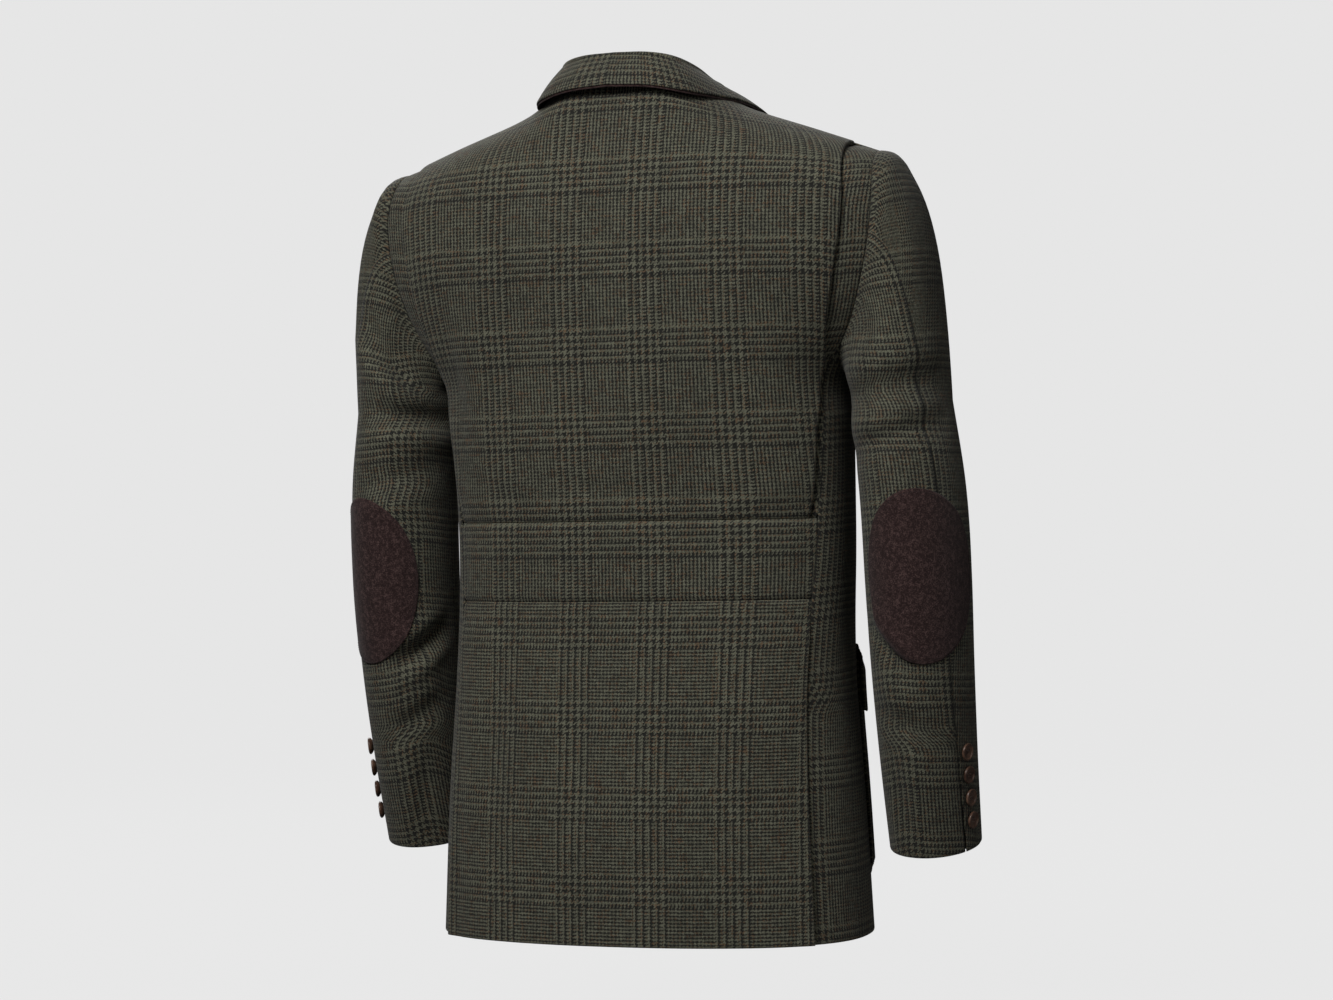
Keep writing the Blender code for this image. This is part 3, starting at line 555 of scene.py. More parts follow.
def tightened(groove, points, *fields):
    """A grid and its fields with close rows and columns added beside the edges, for rounding them."""
    grids = [points, *fields]
    for axis in (0, 1):
        for end, next_to_end in ((0, 1), (-1, -2)):
            base = np.moveaxis(grids[0], axis, 0)
            gap = np.maximum(np.linalg.norm(base[next_to_end] - base[end], axis=-1), 1e-9)
            limits = zip(EDGE_STEPS, EDGE_MOST)
            added = [np.minimum(groove * step / gap, most)[..., None] for step, most in limits]
            for place, grid in enumerate(grids):
                work = np.moveaxis(grid, axis, 0)
                extra = np.stack([work[end] + share * (work[next_to_end] - work[end]) for share in added])
                if end == 0:
                    work = np.concatenate([work[:1], extra, work[1:]])
                else:
                    work = np.concatenate([work[:-1], extra[::-1], work[-1:]])
                grids[place] = np.moveaxis(work, 0, axis)
    return grids


def edge_sink(rows, columns):
    """How far each point of a tightened grid sinks to round the edges."""
    sink = np.zeros((rows, columns))
    for depth, amount in enumerate(EDGE_SINK):
        inset = np.full((rows, columns), amount)
        inset[depth + 1 : rows - depth - 1, depth + 1 : columns - depth - 1] = 0
        sink = np.maximum(sink, inset)
    return sink


def wall_faces(rows, columns):
    """Quads of a closed wall between two grids of points, the second listed after the first."""
    count = rows * columns
    index = np.arange(count).reshape(rows, columns)
    quads = np.stack([index[:-1, :-1], index[:-1, 1:], index[1:, 1:], index[1:, :-1]], axis=-1)
    quads = quads.reshape(-1, 4)
    faces = [quads, quads[:, ::-1] + count]
    for rim in (index[0, ::-1], index[-1], index[:, 0], index[::-1, -1]):
        faces.append(np.stack([rim[:-1], rim[1:], rim[1:] + count, rim[:-1] + count], axis=-1))
    return np.concatenate(faces)


def add_piece(name, points, faces, material, lengths=None):
    """A smooth closed mesh facing outwards, linked to the scene and riding on the jacket."""
    mesh = bpy.data.meshes.new(name)
    mesh.from_pydata(points.tolist(), [], faces.tolist())
    if lengths is not None:
        layer = mesh.uv_layers.new(name="cloth")
        corners = np.empty(len(mesh.loops), int)
        mesh.loops.foreach_get("vertex_index", corners)
        layer.data.foreach_set("uv", lengths[corners].astype(np.float32).ravel())
    work = bmesh.new()
    work.from_mesh(mesh)
    if work.calc_volume(signed=True) < 0:
        bmesh.ops.reverse_faces(work, faces=work.faces)
    work.to_mesh(mesh)
    work.free()
    mesh.shade_smooth()
    mesh.materials.append(material)
    piece = bpy.data.objects.new(name, mesh)
    bpy.context.scene.collection.objects.link(piece)
    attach(piece, "root")
    return piece


def add_cloth(
    name, outer, facing, lengths, slot="tweed", finish=None, thickness=WALL, held="hung", rests_on=(),
    groove=1.0, nodes=(),
):
    """A wall of cloth that stands for a node of the same name, noted as a sheet for the last step."""
    area = np.linalg.norm(np.cross(np.diff(outer, axis=1)[:-1], np.diff(outer, axis=0)[:, :-1]), axis=-1)
    flat = spacing(outer, 1).sum(axis=1).max(), spacing(outer, 0).sum(axis=0).max()
    outer, facing, lengths = tightened(groove, outer, facing, lengths)
    rows, columns = outer.shape[:2]
    sink = np.minimum(groove * edge_sink(rows, columns), EDGE_SINK_MOST * thickness)[..., None] * facing
    points = two_layers(outer - sink, outer - thickness * facing + sink)
    lengths = np.concatenate([lengths.reshape(-1, 2)] * 2)
    material = bpy.data.materials[finish or FINISHES[slot]]
    piece = add_piece(name + "_cloth", points, wall_faces(rows, columns), material, lengths)
    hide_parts(name, *nodes)
    sheets[name] = (piece, flat, area.sum(), held, rests_on)


def on_body(surface, lift=0.0):
    """A surface moved off the body by lift, with its normals."""
    normals = body_normals(surface)
    return surface + np.asarray(lift, float)[..., None] * normals, normals


def settled(points):
    """Points of the body as it hangs, with the wearer's right side a little fuller at the waist."""
    moved = np.array(points)
    fullness = np.exp(-(((moved[..., 2] - WAIST_EASE_HEIGHT) / WAIST_EASE_SPREAD) ** 2))
    moved[..., 0] -= WAIST_EASE * fullness * ease(-moved[..., 0], *WAIST_EASE_REACHES)
    return moved


def back_top(reach):
    """Height of the back's upper edge: the neck seam, then the shoulder seam."""
    share = np.clip(np.abs(reach) / NECK_HALF_WIDTH, 0, 1)
    neck_point = shoulder_ridge(NECK_HALF_WIDTH)
    neck = BACK_NECK_HEIGHT + (neck_point - BACK_NECK_HEIGHT) * share**2
    return np.where(np.abs(reach) < NECK_HALF_WIDTH, neck, shoulder_ridge(reach)) - RIDGE_DROP


def side_seam_angle(height):
    return smooth_columns(SIDE_BACK_SEAM, SIDE_BACK_COLUMNS, "angle", height)


def armhole_heights(foot):
    """Heights of the rows from the foot of the armhole up to the shoulder seam."""
    tip = back_top(SHOULDER_HALF_WIDTH)
    return tip - finer(ARMHOLE_ROWS) * (tip - foot) / (ARMHOLE_ROWS[0] + 0.012)


def back_edge_reach(height):
    """Half width of the back: to the side seam low down and to the armhole above it."""
    if height <= ARMHOLE_BACK_FOOT:
        return body_at_angle(side_seam_angle(height), height)[..., 0]
    return smooth_columns(ARMHOLE, ARMHOLE_COLUMNS, "back_reach", height)


def pleat_section(edge, fold):
    """The back's cross-section from the centre to the armhole: distances out and offsets from the body.

    The cloth runs out to the fold, returns under itself by the pleat's depth and runs out again.
    """
    resting = -WALL / 2
    radius = PLEAT_PITCH / 2
    low = resting - PLEAT_PITCH / 2
    top = low + 2 * PLEAT_PITCH
    root = fold - PLEAT_DEPTH
    turn = np.radians(np.linspace(75, -75, 7))
    over = np.linspace(0, fold - radius, 56)
    under = np.linspace(fold - radius, root + radius, 10)
    covered = np.linspace(root + radius, fold - 0.003, 8)
    again = np.concatenate([covered, np.linspace(fold - 0.001, edge, 12)])
    reach = (
        over,
        fold - radius + radius * np.cos(turn),
        under,
        root + radius - radius * np.cos(turn),
        again,
    )
    offset = (
        resting + (top - resting) * ease(over, root - PLEAT_EASE, root),
        top - radius + radius * np.sin(turn),
        np.full(10, top - PLEAT_PITCH),
        low + radius + radius * np.sin(turn),
        low + (resting - low) * ease(again, fold, edge),
    )
    return np.concatenate(reach), np.concatenate(offset)


def pleat_tuck(reach, fold, height, share):
    """How far the folded layers are pressed in where the belt and the shoulder seam catch them."""
    root = fold - PLEAT_DEPTH
    folded = ease(reach, root - PLEAT_EASE, root) * (1 - ease(reach, fold, fold + 0.008))
    at_belt = 1 - ease(height, BELT_TOP, BELT_TOP + PLEAT_TUCK_RISE)
    at_shoulder = PLEAT_TUCK_AT_SHOULDER * ease(share, 0.80, 0.99)
    return PLEAT_TUCK * folded * np.maximum(at_belt, at_shoulder)


def seam_dip(height):
    """How far the belt's two seams draw the cloth in."""
    dips = [np.exp(-(((height - seam) / SEAM_DIP_WIDTH) ** 2)) for seam in (BELT_TOP, BELT_BOTTOM)]
    return SEAM_DIP * sum(dips)


def back_upper():
    """The upper back from armhole to armhole, with an action pleat folded down each side."""
    tip = back_top(SHOULDER_HALF_WIDTH)
    flank = BELT_TOP + (ARMHOLE_BACK_FOOT - BELT_TOP) * np.linspace(0, 1, BACK_ROWS) ** 1.3
    heights = np.concatenate([flank, armhole_heights(ARMHOLE_BACK_FOOT)])
    heights[0] += SEAM_INSET
    outer, facings = [], []
    for edge_height in heights:
        share = (edge_height - heights[0]) / (tip - heights[0])
        edge = back_edge_reach(edge_height) - SEAM_INSET
        fold = smooth_columns(PLEAT_FOLD, PLEAT_COLUMNS, "reach", edge_height)
        reach, offset = pleat_section(edge, min(fold, edge - 0.003))
        top = back_top(reach / edge * SHOULDER_HALF_WIDTH)
        reach_scaled = np.where(share == 1, reach / edge * SHOULDER_HALF_WIDTH, reach)
        height = heights[0] + share * (top - heights[0])
        middle = body_at_reach(reach_scaled, height)
        normals = body_normals(middle)
        offset = offset - pleat_tuck(reach, fold, height, share)
        slope = np.stack([np.gradient(reach), np.gradient(offset)], axis=-1)
        slope[-1] = (1, 0)
        slope = unit(slope)
        lateral = np.array((1.0, 0.0, 0.0)) - normals * normals[:, :1]
        lateral = unit(lateral)
        facing = slope[:, :1] * normals - slope[:, 1:] * lateral
        halves = []
        for side in (-1, 1):
            press = crease_depth(side * middle[:, 0], middle[:, 2], BACK_CREASES)
            press = press + seam_dip(middle[:, 2])
            placed = middle + (offset - press)[:, None] * normals + WALL / 2 * facing
            halves.append((mirrored(placed, side), mirrored(facing, side)))
        outer.append(np.concatenate([halves[0][0][:0:-1], halves[1][0]]))
        facings.append(np.concatenate([halves[0][1][:0:-1], halves[1][1]]))
    outer, facings = np.array(outer), np.array(facings)
    lengths = cloth_lengths(outer, middle_column=outer.shape[1] // 2) + (BACK_WEAVE_SHIFT, 0)
    add_cloth("back_upper", settled(outer), facings, lengths, groove=BACK_GROOVE)


def back_band(name, low, high, count, lift, finish, weave_shift):
    """A full-width piece of the lower back, from one side seam to the other."""
    shares = np.linspace(0, 1, count)[:, None]
    shares = shares - 0.08 * np.sin(2 * np.pi * shares)
    heights = low + SEAM_INSET + (high - low - 2 * SEAM_INSET) * shares
    edge = side_seam_angle(heights) - np.degrees(SEAM_INSET / body_column("half_width", heights))
    angles = edge * np.linspace(-1, 1, BAND_COLUMNS)[None, :]
    surface = body_at_angle(angles, np.broadcast_to(heights, angles.shape))
    press = crease_depth(surface[..., 0], surface[..., 2], BACK_CREASES) + seam_dip(heights)
    outer, facing = on_body(surface, lift(angles, edge, heights) - press)
    lengths = cloth_lengths(outer, middle_column=BAND_COLUMNS // 2) + (BACK_WEAVE_SHIFT, weave_shift)
    add_cloth(name, settled(outer), facing, lengths, finish=finish, groove=BACK_GROOVE)


def no_lift(angles, edge, heights):
    return np.zeros_like(angles)


def vent_lift(angles, edge, heights):
    """The back stands over the side panels along the vents."""
    near_edge = ease(np.abs(angles) / edge, 0.45, 0.85)
    flare = VENT_FLARE * ease(np.abs(angles) / edge, 0.86, 1.0) * ease(-heights, -VENT_TOP, -HEM)
    return VENT_LIFT * near_edge * ease(-heights, -VENT_TOP - 0.060, -VENT_TOP - 0.025) + flare


def armhole_floor(shares):
    """Upper edge of the side panel from its back seam to its front seam."""
    chord = ARMHOLE_BACK_FOOT + (ARMHOLE_FRONT_FOOT - ARMHOLE_BACK_FOOT) * shares
    sag = (ARMHOLE_BACK_FOOT + ARMHOLE_FRONT_FOOT) / 2 - ARMHOLE_FLOOR
    return chord - sag * 4 * shares * (1 - shares)


def side_surface():
    """The panel under the arm, with the vent's underlap along its lower back edge."""
    shares = np.linspace(0, 1, 8 * FINER + 1)[None, :]
    heights = HEM + np.linspace(0, 1, SIDE_ROWS)[:, None] * (armhole_floor(shares) - HEM)
    width = body_column("half_width", heights)
    underlap = VENT_UNDERLAP * ease(-heights, -VENT_TOP, -VENT_TOP + 0.030)
    rear = side_seam_angle(heights) + np.degrees((SEAM_INSET - underlap) / width)
    fore = FRONT_SEAM_ANGLE - np.degrees(SEAM_INSET / width)
    return body_at_angle(rear + shares * (fore - rear), heights)


def front_edge_reach(height):
    """Distance of the front edge from the middle: the overlap low down, the lapel's roll above it."""
    roll = smooth_columns(FRONT_EDGE, FRONT_EDGE_COLUMNS, "reach", height)
    return np.where(height < FRONT_EDGE[0][0], -FRONT_OVERLAP, roll)


def front_surface():
    """A front from the front edge and the lapel's roll to the side seam and the armhole."""
    shares = np.sin(np.linspace(0, np.pi / 2, FRONT_COLUMNS))[None, :]
    low = np.linspace(HEM, ARMHOLE_FRONT_FOOT, FRONT_ROWS)
    rear_heights = np.concatenate([low, armhole_heights(ARMHOLE_FRONT_FOOT)])[:, None]
    rows = (rear_heights - HEM) / (rear_heights[-1] - HEM)
    top = shoulder_ridge(NECK_HALF_WIDTH + shares * (SHOULDER_HALF_WIDTH - NECK_HALF_WIDTH)) - RIDGE_DROP
    heights = HEM + rows * (top - HEM)
    width = body_column("half_width", rear_heights)
    seam_angle = FRONT_SEAM_ANGLE + np.degrees(SEAM_INSET / width)
    seam = body_at_angle(seam_angle, rear_heights)[..., 0]
    armhole = smooth_columns(ARMHOLE, ARMHOLE_COLUMNS, "front_reach", rear_heights) - SEAM_INSET
    rear = np.where(rear_heights <= ARMHOLE_FRONT_FOOT + 1e-9, seam, armhole)
    edge = front_edge_reach(heights[:, :1])
    edge[-1] = NECK_HALF_WIDTH
    rear[-1] = SHOULDER_HALF_WIDTH
    return body_at_reach(edge + (rear - edge) * shares, heights, front=True)


def front_tuck(surface):
    """The right front lies under the left one along the front edge."""
    return -FRONT_TUCK * (1 - ease(surface[..., 0], *FRONT_TUCK_REACHES))


def sides_and_fronts():
    """The panels under the arms and the two fronts."""
    side_panel, front_panel = side_surface(), front_surface()
    for label, side in SIDES:
        press = crease_depth(front_panel[..., 0], front_panel[..., 2], FRONT_CREASES[label])
        tuck = front_tuck(front_panel) if side < 0 else 0.0
        for name, panel, lift in (("side_", side_panel, 0.0), ("front_", front_panel, tuck - press)):
            outer, facing = on_body(panel, lift)
            lengths = cloth_lengths(outer)
            add_cloth(name + label, settled(mirrored(outer, side)), mirrored(facing, side), lengths)


def armhole_loop(side_panel, front_panel):
    """The armhole's edge from the shoulder tip down the back, under the arm and up the front.

    Returns the points and the places of the two sleeve seams among them.
    """
    heights = armhole_heights(ARMHOLE_BACK_FOOT)[::-1]
    back = np.array([body_at_reach(back_edge_reach(height), height) for height in heights])
    front = front_panel[-len(heights) : -1, -1]
    loop = np.concatenate([back, side_panel[-1], front])
    return loop, len(back) - 1 - HIND_ROW * FINER, len(loop) - len(front) + FORE_ROW * FINER


def sleeve_column(name, height):
    return smooth_columns(SLEEVE_RINGS[::-1], SLEEVE_COLUMNS, name, height)


def sleeve_ring(angle, height):
    """A point on the arm below the armpit. The angle in degrees runs from the outside to the back."""
    angle = np.radians(angle)
    x = sleeve_column("reach", height) + sleeve_column("half_width", height) * np.cos(angle)
    back = sleeve_column("half_depth", height) * np.sin(angle)
    z = height - sleeve_column("tilt", height) * back
    return np.stack(np.broadcast_arrays(x, sleeve_column("ahead", height) + back, z), axis=-1)


def sleeve_normals(angle, height):
    """Unit normals of the arm, pointing out."""
    step = 0.05
    around = sleeve_ring(angle + step, height) - sleeve_ring(angle - step, height)
    down = sleeve_ring(angle, height - 1e-4) - sleeve_ring(angle, height + 1e-4)
    return unit(np.cross(down, around))


def hind_seam_angle(height):
    return smooth_columns(HIND_SEAM, HIND_SEAM_COLUMNS, "angle", height)


def sleeve_angles(loop, hind, fore, height):
    """Ring angles of the loop's points: the shoulder tip stays outside, and the seams keep their lines."""
    centre = loop.mean(axis=0)
    turn = np.degrees(np.arctan2(loop[:, 1] - loop[0, 1], loop[:, 2] - centre[2])) % 360
    turn[0] = 0
    marks = (0, turn[hind], turn[fore], 360)
    places = (0, hind_seam_angle(height), FORE_SEAM_ANGLE, 360)
    return np.interp(turn, marks, places)


def sleeve_surface(loop, hind, fore):
    """The whole sleeve as closed rings from the armhole to the cuff, with their angles and heights."""
    angles = sleeve_angles(loop, hind, fore, BICEP)
    ring = sleeve_ring(angles, BICEP)
    turned = np.radians(angles)
    sideways = CAP_LEAN * np.sin(turned)
    downward = -CAP_LEAN * np.clip(np.cos(turned), 0, 1)
    leave = unit(np.stack([np.ones_like(turned), sideways, downward], axis=-1))
    start = loop + SEAM_INSET * leave
    span = np.linalg.norm(ring - start, axis=-1, keepdims=True)
    drop = np.array((0.0, 0.0, -1.0)) * span
    rows, turns, levels = [], [], []
    for t in np.linspace(0, 1, CAP_ROWS)[:-1]:
        t = t**1.3
        row = (1 + 2 * t) * (1 - t) ** 2 * start + t * (1 - t) ** 2 * CAP_REACH * span * leave
        rows.append(row + t**2 * (3 - 2 * t) * ring + t**2 * (t - 1) * CAP_DROP * drop)
        turns.append(angles)
        levels.append(rows[-1][:, 2])
    for height in np.linspace(BICEP, CUFF, ARM_ROWS):
        turns.append(sleeve_angles(loop, hind, fore, height))
        levels.append(np.full(len(loop), height))
        rows.append(sleeve_ring(turns[-1], height))
    return np.array(rows), np.array(turns), np.array(levels)


def swung(points, side):
    """Points of an arm moved as both arms hang, a little towards the wearer's right."""
    moved = np.array(points)
    moved[..., 0] -= side * SLEEVE_SWING * ease(-moved[..., 2], *SWING_HEIGHTS)
    return moved


def sleeves():
    """The top sleeve over each arm and the under sleeve below it, with an open vent at the cuff."""
    loop, hind, fore = armhole_loop(side_surface(), front_surface())
    surface, turns, levels = sleeve_surface(loop, hind, fore)
    normals = -grid_normals(surface, closed=True)
    count = surface.shape[1]
    from_seam = (running(spacing(surface, 0), 0) - SLEEVE_HEAD_PLACE) / SLEEVE_HEAD_SPREAD
    over = np.clip(np.cos(np.radians(turns - SLEEVE_HEAD_ANGLE)), 0, 1) ** 0.7
    surface = surface + (SLEEVE_HEAD_ROLL * over * np.exp(-(from_seam**2)))[..., None] * normals
    depth = -surface[..., 2].mean(axis=1)[:, None]
    vent = ease(depth, -CUFF_VENT_TOP, -CUFF_VENT_TOP + CUFF_VENT_RUN)
    opening = CUFF_VENT_OPENING * ease(depth, -CUFF_VENT_TOP, -CUFF)
    pieces = (
        ("sleeve_top_", np.arange(fore, hind + count + 1) % count, SEAM_INSET, 0.0),
        ("sleeve_under_", np.arange(hind, fore + 1), SEAM_INSET + opening, UNDER_SLEEVE_WEAVE_SHIFT),
    )
    for label, side in SIDES:
        pressed = surface - sleeve_crease_depth(turns, levels, SLEEVE_CREASES[label])[..., None] * normals
        for name, columns, gap, shift in pieces:
            points = pressed[:, columns].copy()
            first, last = unit(points[:, 1] - points[:, 0]), unit(points[:, -2] - points[:, -1])
            points[:, 0] += gap * first
            points[:, -1] += SEAM_INSET * last
            facing = normals[:, columns]
            if name == "sleeve_under_":
                beside = unit(pressed[:, hind - 1] - pressed[:, hind])
                reach = (UNDER_SLEEVE_LAP + CUFF_UNDERLAP * vent) * beside
                sunk = points[:, 0] - (UNDER_SLEEVE_SINK + CUFF_UNDERLAP_SINK * vent) * facing[:, 0]
                lap = np.stack([sunk + share * reach for share in (1.0, 0.6, 0.2)], axis=1)
                points = np.concatenate([lap, points], axis=1)
                facing = np.concatenate([np.repeat(facing[:, :1], 3, axis=1), facing], axis=1)
            placed, facing = mirrored(swung(points, side), side), mirrored(facing, side)
            lengths = sleeve_lengths(points) + (shift, 0)
            add_cloth(name + label, placed, facing, lengths, nodes=(name + "lower_" + label,))


def sleeve_lengths(points):
    """Lengths round and along an arm."""
    u, v = running(spacing(points, 1), 1), -running(spacing(points, 0), 0)
    return np.stack([u, v - v[len(points) // 4] + BICEP], axis=-1)


def patch_points(across, up, label, side):
    """Points of an elbow patch's face, from -1 to 1 across and up, with their normals."""
    angles = PATCH_CENTRE_ANGLE + PATCH_HALF_ANGLE * across
    heights = PATCH_CENTRE_HEIGHT + PATCH_HALF_HEIGHT * up
    normals = sleeve_normals(angles, heights)
    lift = PATCH_LIFT + PATCH_THICKNESS - sleeve_crease_depth(angles, heights, SLEEVE_CREASES[label])
    points = sleeve_ring(angles, heights) + lift[..., None] * normals
    return mirrored(swung(points, side), side), mirrored(normals, side)


def disc(count, power=1.0):
    """A square grid pressed into a disc of radius one."""
    line = np.linspace(-1, 1, count)
    line = np.sign(line) * np.abs(line) ** power
    u, v = np.meshgrid(line, line)
    return u * np.sqrt(1 - v**2 / 2), v * np.sqrt(1 - u**2 / 2)


def elbow_patches():
    """An oval patch over the back of each elbow, sewn round its edge."""
    across, up = disc(PATCH_STEPS)
    half_width = PATCH_HALF_ANGLE * METRES_PER_DEGREE
    lengths = np.stack([half_width * across, PATCH_HALF_HEIGHT * up], axis=-1)
    turn = np.linspace(0, 2 * np.pi, 361)[:-1]
    inset = 1 - PATCH_STITCH_INSET / PATCH_HALF_HEIGHT
    for label, side in SIDES:
        name = "elbow_patch_" + label
        below = "sleeve_top_" + label, "sleeve_under_" + label
        outer, facing = patch_points(across, up, label, side)
        add_cloth(name, outer, facing, lengths, "elbow_patch", None, PATCH_THICKNESS, "laid", below)
        line, facing = patch_points(inset * np.cos(turn), inset * np.sin(turn), label, side)
        going_with[name] = stitches(name + "_stitches", line, facing, True, "elbow_patch")


def stitch_nodes():
    """A node group that turns a line into a row of short threads lying along it."""
    group = bpy.data.node_groups.get("stitch_row")
    if group:
        return group
    group = bpy.data.node_groups.new("stitch_row", "GeometryNodeTree")
    labels = {
        "Geometry": "Geometry",
        "Pitch": "Float",
        "Length": "Float",
        "Thread Radius": "Float",
        "Thread": "Material",
    }
    for label, kind in labels.items():
        group.interface.new_socket(label, in_out="INPUT", socket_type="NodeSocket" + kind)
    group.interface.new_socket("Geometry", in_out="OUTPUT", socket_type="NodeSocketGeometry")
    given = group.nodes.new("NodeGroupInput").outputs
    line, pitch, length, radius, thread = [Value(group, given[label]) for label in labels]
    start = Value(group)
    facing = start.node("GeometryNodeInputNamedAttribute", {"data_type": "FLOAT_VECTOR"}, "facing")
    curve = start.node("GeometryNodeMeshToCurve", {}, line)
    spaced = start.node("GeometryNodeResampleCurve", {"mode": "LENGTH"}, curve, None, None, pitch)
    tangent = start.node("GeometryNodeInputTangent", {})
    along = start.node("FunctionNodeAlignRotationToVector", {"axis": "Z"}, None, None, tangent)
    outward = {"axis": "X", "pivot_axis": "Z"}
    outward = start.node("FunctionNodeAlignRotationToVector", outward, along, None, facing)
    ball = start.node("GeometryNodeMeshUVSphere", {}, 6, 6, 1.0)
    size = start.node("ShaderNodeCombineXYZ", {}, radius, radius, length * 0.5)
    rows = start.node("GeometryNodeInstanceOnPoints", {}, spaced, None, ball, None, None, outward, size)
    real = start.node("GeometryNodeRealizeInstances", {}, rows)
    threads = start.node("GeometryNodeSetMaterial", {}, real, None, thread)
    group.links.new(threads.socket, group.nodes.new("NodeGroupOutput").inputs[0])
    return group


def stitches(name, line, facing, closed, slot):
    """Threads along a line of points with its normals, as one plain mesh."""
    count = len(line)
    edges = [(i, (i + 1) % count) for i in range(count if closed else count - 1)]
    mesh = bpy.data.meshes.new(name)
    mesh.from_pydata(line.tolist(), edges, [])
    layer = mesh.attributes.new("facing", "FLOAT_VECTOR", "POINT")
    layer.data.foreach_set("vector", facing.astype(np.float32).ravel())
    work = bpy.data.objects.new(name + "_line", mesh)
    bpy.context.scene.collection.objects.link(work)
    group = stitch_nodes()
    modifier = work.modifiers.new("stitches", "NODES")
    modifier.node_group = group
    settings = bpy.context.scene.jacket_sizes
    values = {
        "Pitch": settings.stitch_pitch,
        "Length": settings.stitch_length,
        "Thread Radius": settings.thread_radius,
        "Thread": bpy.data.materials[slot + "_thread"],
    }
    for item in group.interface.items_tree:
        if item.in_out == "INPUT" and item.name in values:
            modifier[item.identifier] = values[item.name]
    graph = bpy.context.evaluated_depsgraph_get()
    made = bpy.data.meshes.new_from_object(work.evaluated_get(graph))
    made.name = name
    bpy.data.objects.remove(work)
    if not made.polygons:
        raise RuntimeError(name + " has no threads")
    made.shade_smooth()
    piece = bpy.data.objects.new(name, made)
    bpy.context.scene.collection.objects.link(piece)
    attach(piece, "root")
    return piece


def collar():
    """The stand and the fall of the collar in one folded piece."""
    along = np.linspace(-1, 1, COLLAR_STEPS)

    def place(part):
        names = [f"{part}_{axis}" for axis in "xyz"]
        x, y, z = [smooth_columns(COLLAR_STATIONS, COLLAR_COLUMNS, name, np.abs(along)) for name in names]
        return np.stack([np.sign(along) * x, y, z], axis=-1)

    foot, fold, edge = place("foot"), place("fold"), place("edge")
    outward = unit((edge - fold) * (1, 1, 0))
    up = np.array((0.0, 0.0, 1.0))
    turn = [
        fold + COLLAR_FOLD_RADIUS * (np.sin(bend) * outward + (np.cos(bend) - 1) * up)
        for bend in np.radians(np.linspace(-90, 90, 11))
    ]
    foot = foot - COLLAR_TUCK * up
    stand = [foot + share * (turn[0] - foot) for share in np.linspace(0, 1, 8)[:-1]]
    fall = []
    for share in np.linspace(0, 1, 12)[1:]:
        bulge = COLLAR_BULGE * np.sin(np.pi * share) * (outward + 0.5 * up)
        fall.append(turn[-1] + share * (edge - turn[-1]) + bulge)
    middle = np.stack(stand + turn + fall, axis=1)
    normals = grid_normals(middle)
    centre = COLLAR_STEPS // 2
    normals = np.sign(normals[centre, -3, 1]) * normals
    v = running(spacing(middle, 1), 1)
    u = running(spacing(middle, 0)[:, -1:], 0) + 0 * v
    lengths = np.stack([u - u[centre], -v], axis=-1)
    add_cloth("collar", middle + WALL / 2 * normals, normals, lengths, held="folded")
    undercollar(middle[:, -len(fall) :], normals[:, -len(fall) :])


def undercollar(fall, normals):
    """The felt that lines the collar's fall and shows as a thin line below its edge."""
    step = unit(fall[:, -1] - fall[:, -2])
    fall = np.concatenate([fall, fall[:, -1:] + UNDERCOLLAR_REACH * step[:, None]], axis=1)
    normals = np.concatenate([normals, normals[:, -1:]], axis=1)
    upper = fall - (WALL / 2 + UNDERCOLLAR_GAP) * normals
    points = two_layers(upper, upper - UNDERCOLLAR_THICKNESS * normals)
    felt = bpy.data.materials[FINISHES["elbow_patch"]]
    going_with["collar"] = add_piece("undercollar_felt", points, wall_faces(*fall.shape[:2]), felt)


def lapels():
    """The fronts' edges turned back over the chest, from the break up to the gorge."""
    for label, side in SIDES:
        rows = np.sin(np.linspace(0, np.pi / 2, LAPEL_ROWS))[:, None]
        shares = np.linspace(0, 1, LAPEL_COLUMNS)[None, :]
        low = LAPEL_FOOT_OVER if side > 0 else LAPEL_FOOT_UNDER
        roll_height = low + rows * (LAPEL_HEAD - low)
        start = front_edge_reach(roll_height) + LAPEL_GAP
        width = smooth_columns(FRONT_EDGE, FRONT_EDGE_COLUMNS, "lapel_width", roll_height)
        heights = roll_height - GORGE_DROP * shares * ease(rows, 0.0, 1.0)
        surface = body_at_reach(start + width * shares, heights, front=True)
        lift = WALL + 2 * LAYER_GAP + LAPEL_ROLL * (1 - shares) ** 2 * np.ones_like(rows)
        if side < 0:
            lift = lift + front_tuck(surface)
        outer, facing = on_body(surface, lift)
        lengths = np.stack([-(1 - shares) * width, roll_height + 0 * shares], axis=-1)
        outer, facing = mirrored(outer, side), mirrored(facing, side)
        add_cloth("lapel_" + label, outer, facing, lengths, held="folded")


def pocket_grid(top, bottom, rear, fore, corner, rows, columns):
    """Angles and heights of a patch on a front with rounded lower corners, and distances from its edge."""
    shares = np.linspace(0, 1, columns)[None, :]
    shares = shares - 0.06 * np.sin(2 * np.pi * shares)
    width = np.radians(fore - rear) * body_column("front", (top + bottom) / 2) * 1.2
    from_side = np.minimum(shares, 1 - shares) * width
    round_off = np.clip(1 - from_side / corner, 0, 1)
    floor = bottom + corner * (1 - np.sqrt(1 - round_off**2))
    heights = floor + np.linspace(0, 1, rows)[:, None] * (top - floor)
    angles = np.broadcast_to(rear + shares * (fore - rear), heights.shape)
    near = np.minimum(from_side, np.minimum(heights - floor, top - heights))
    return angles, heights, near


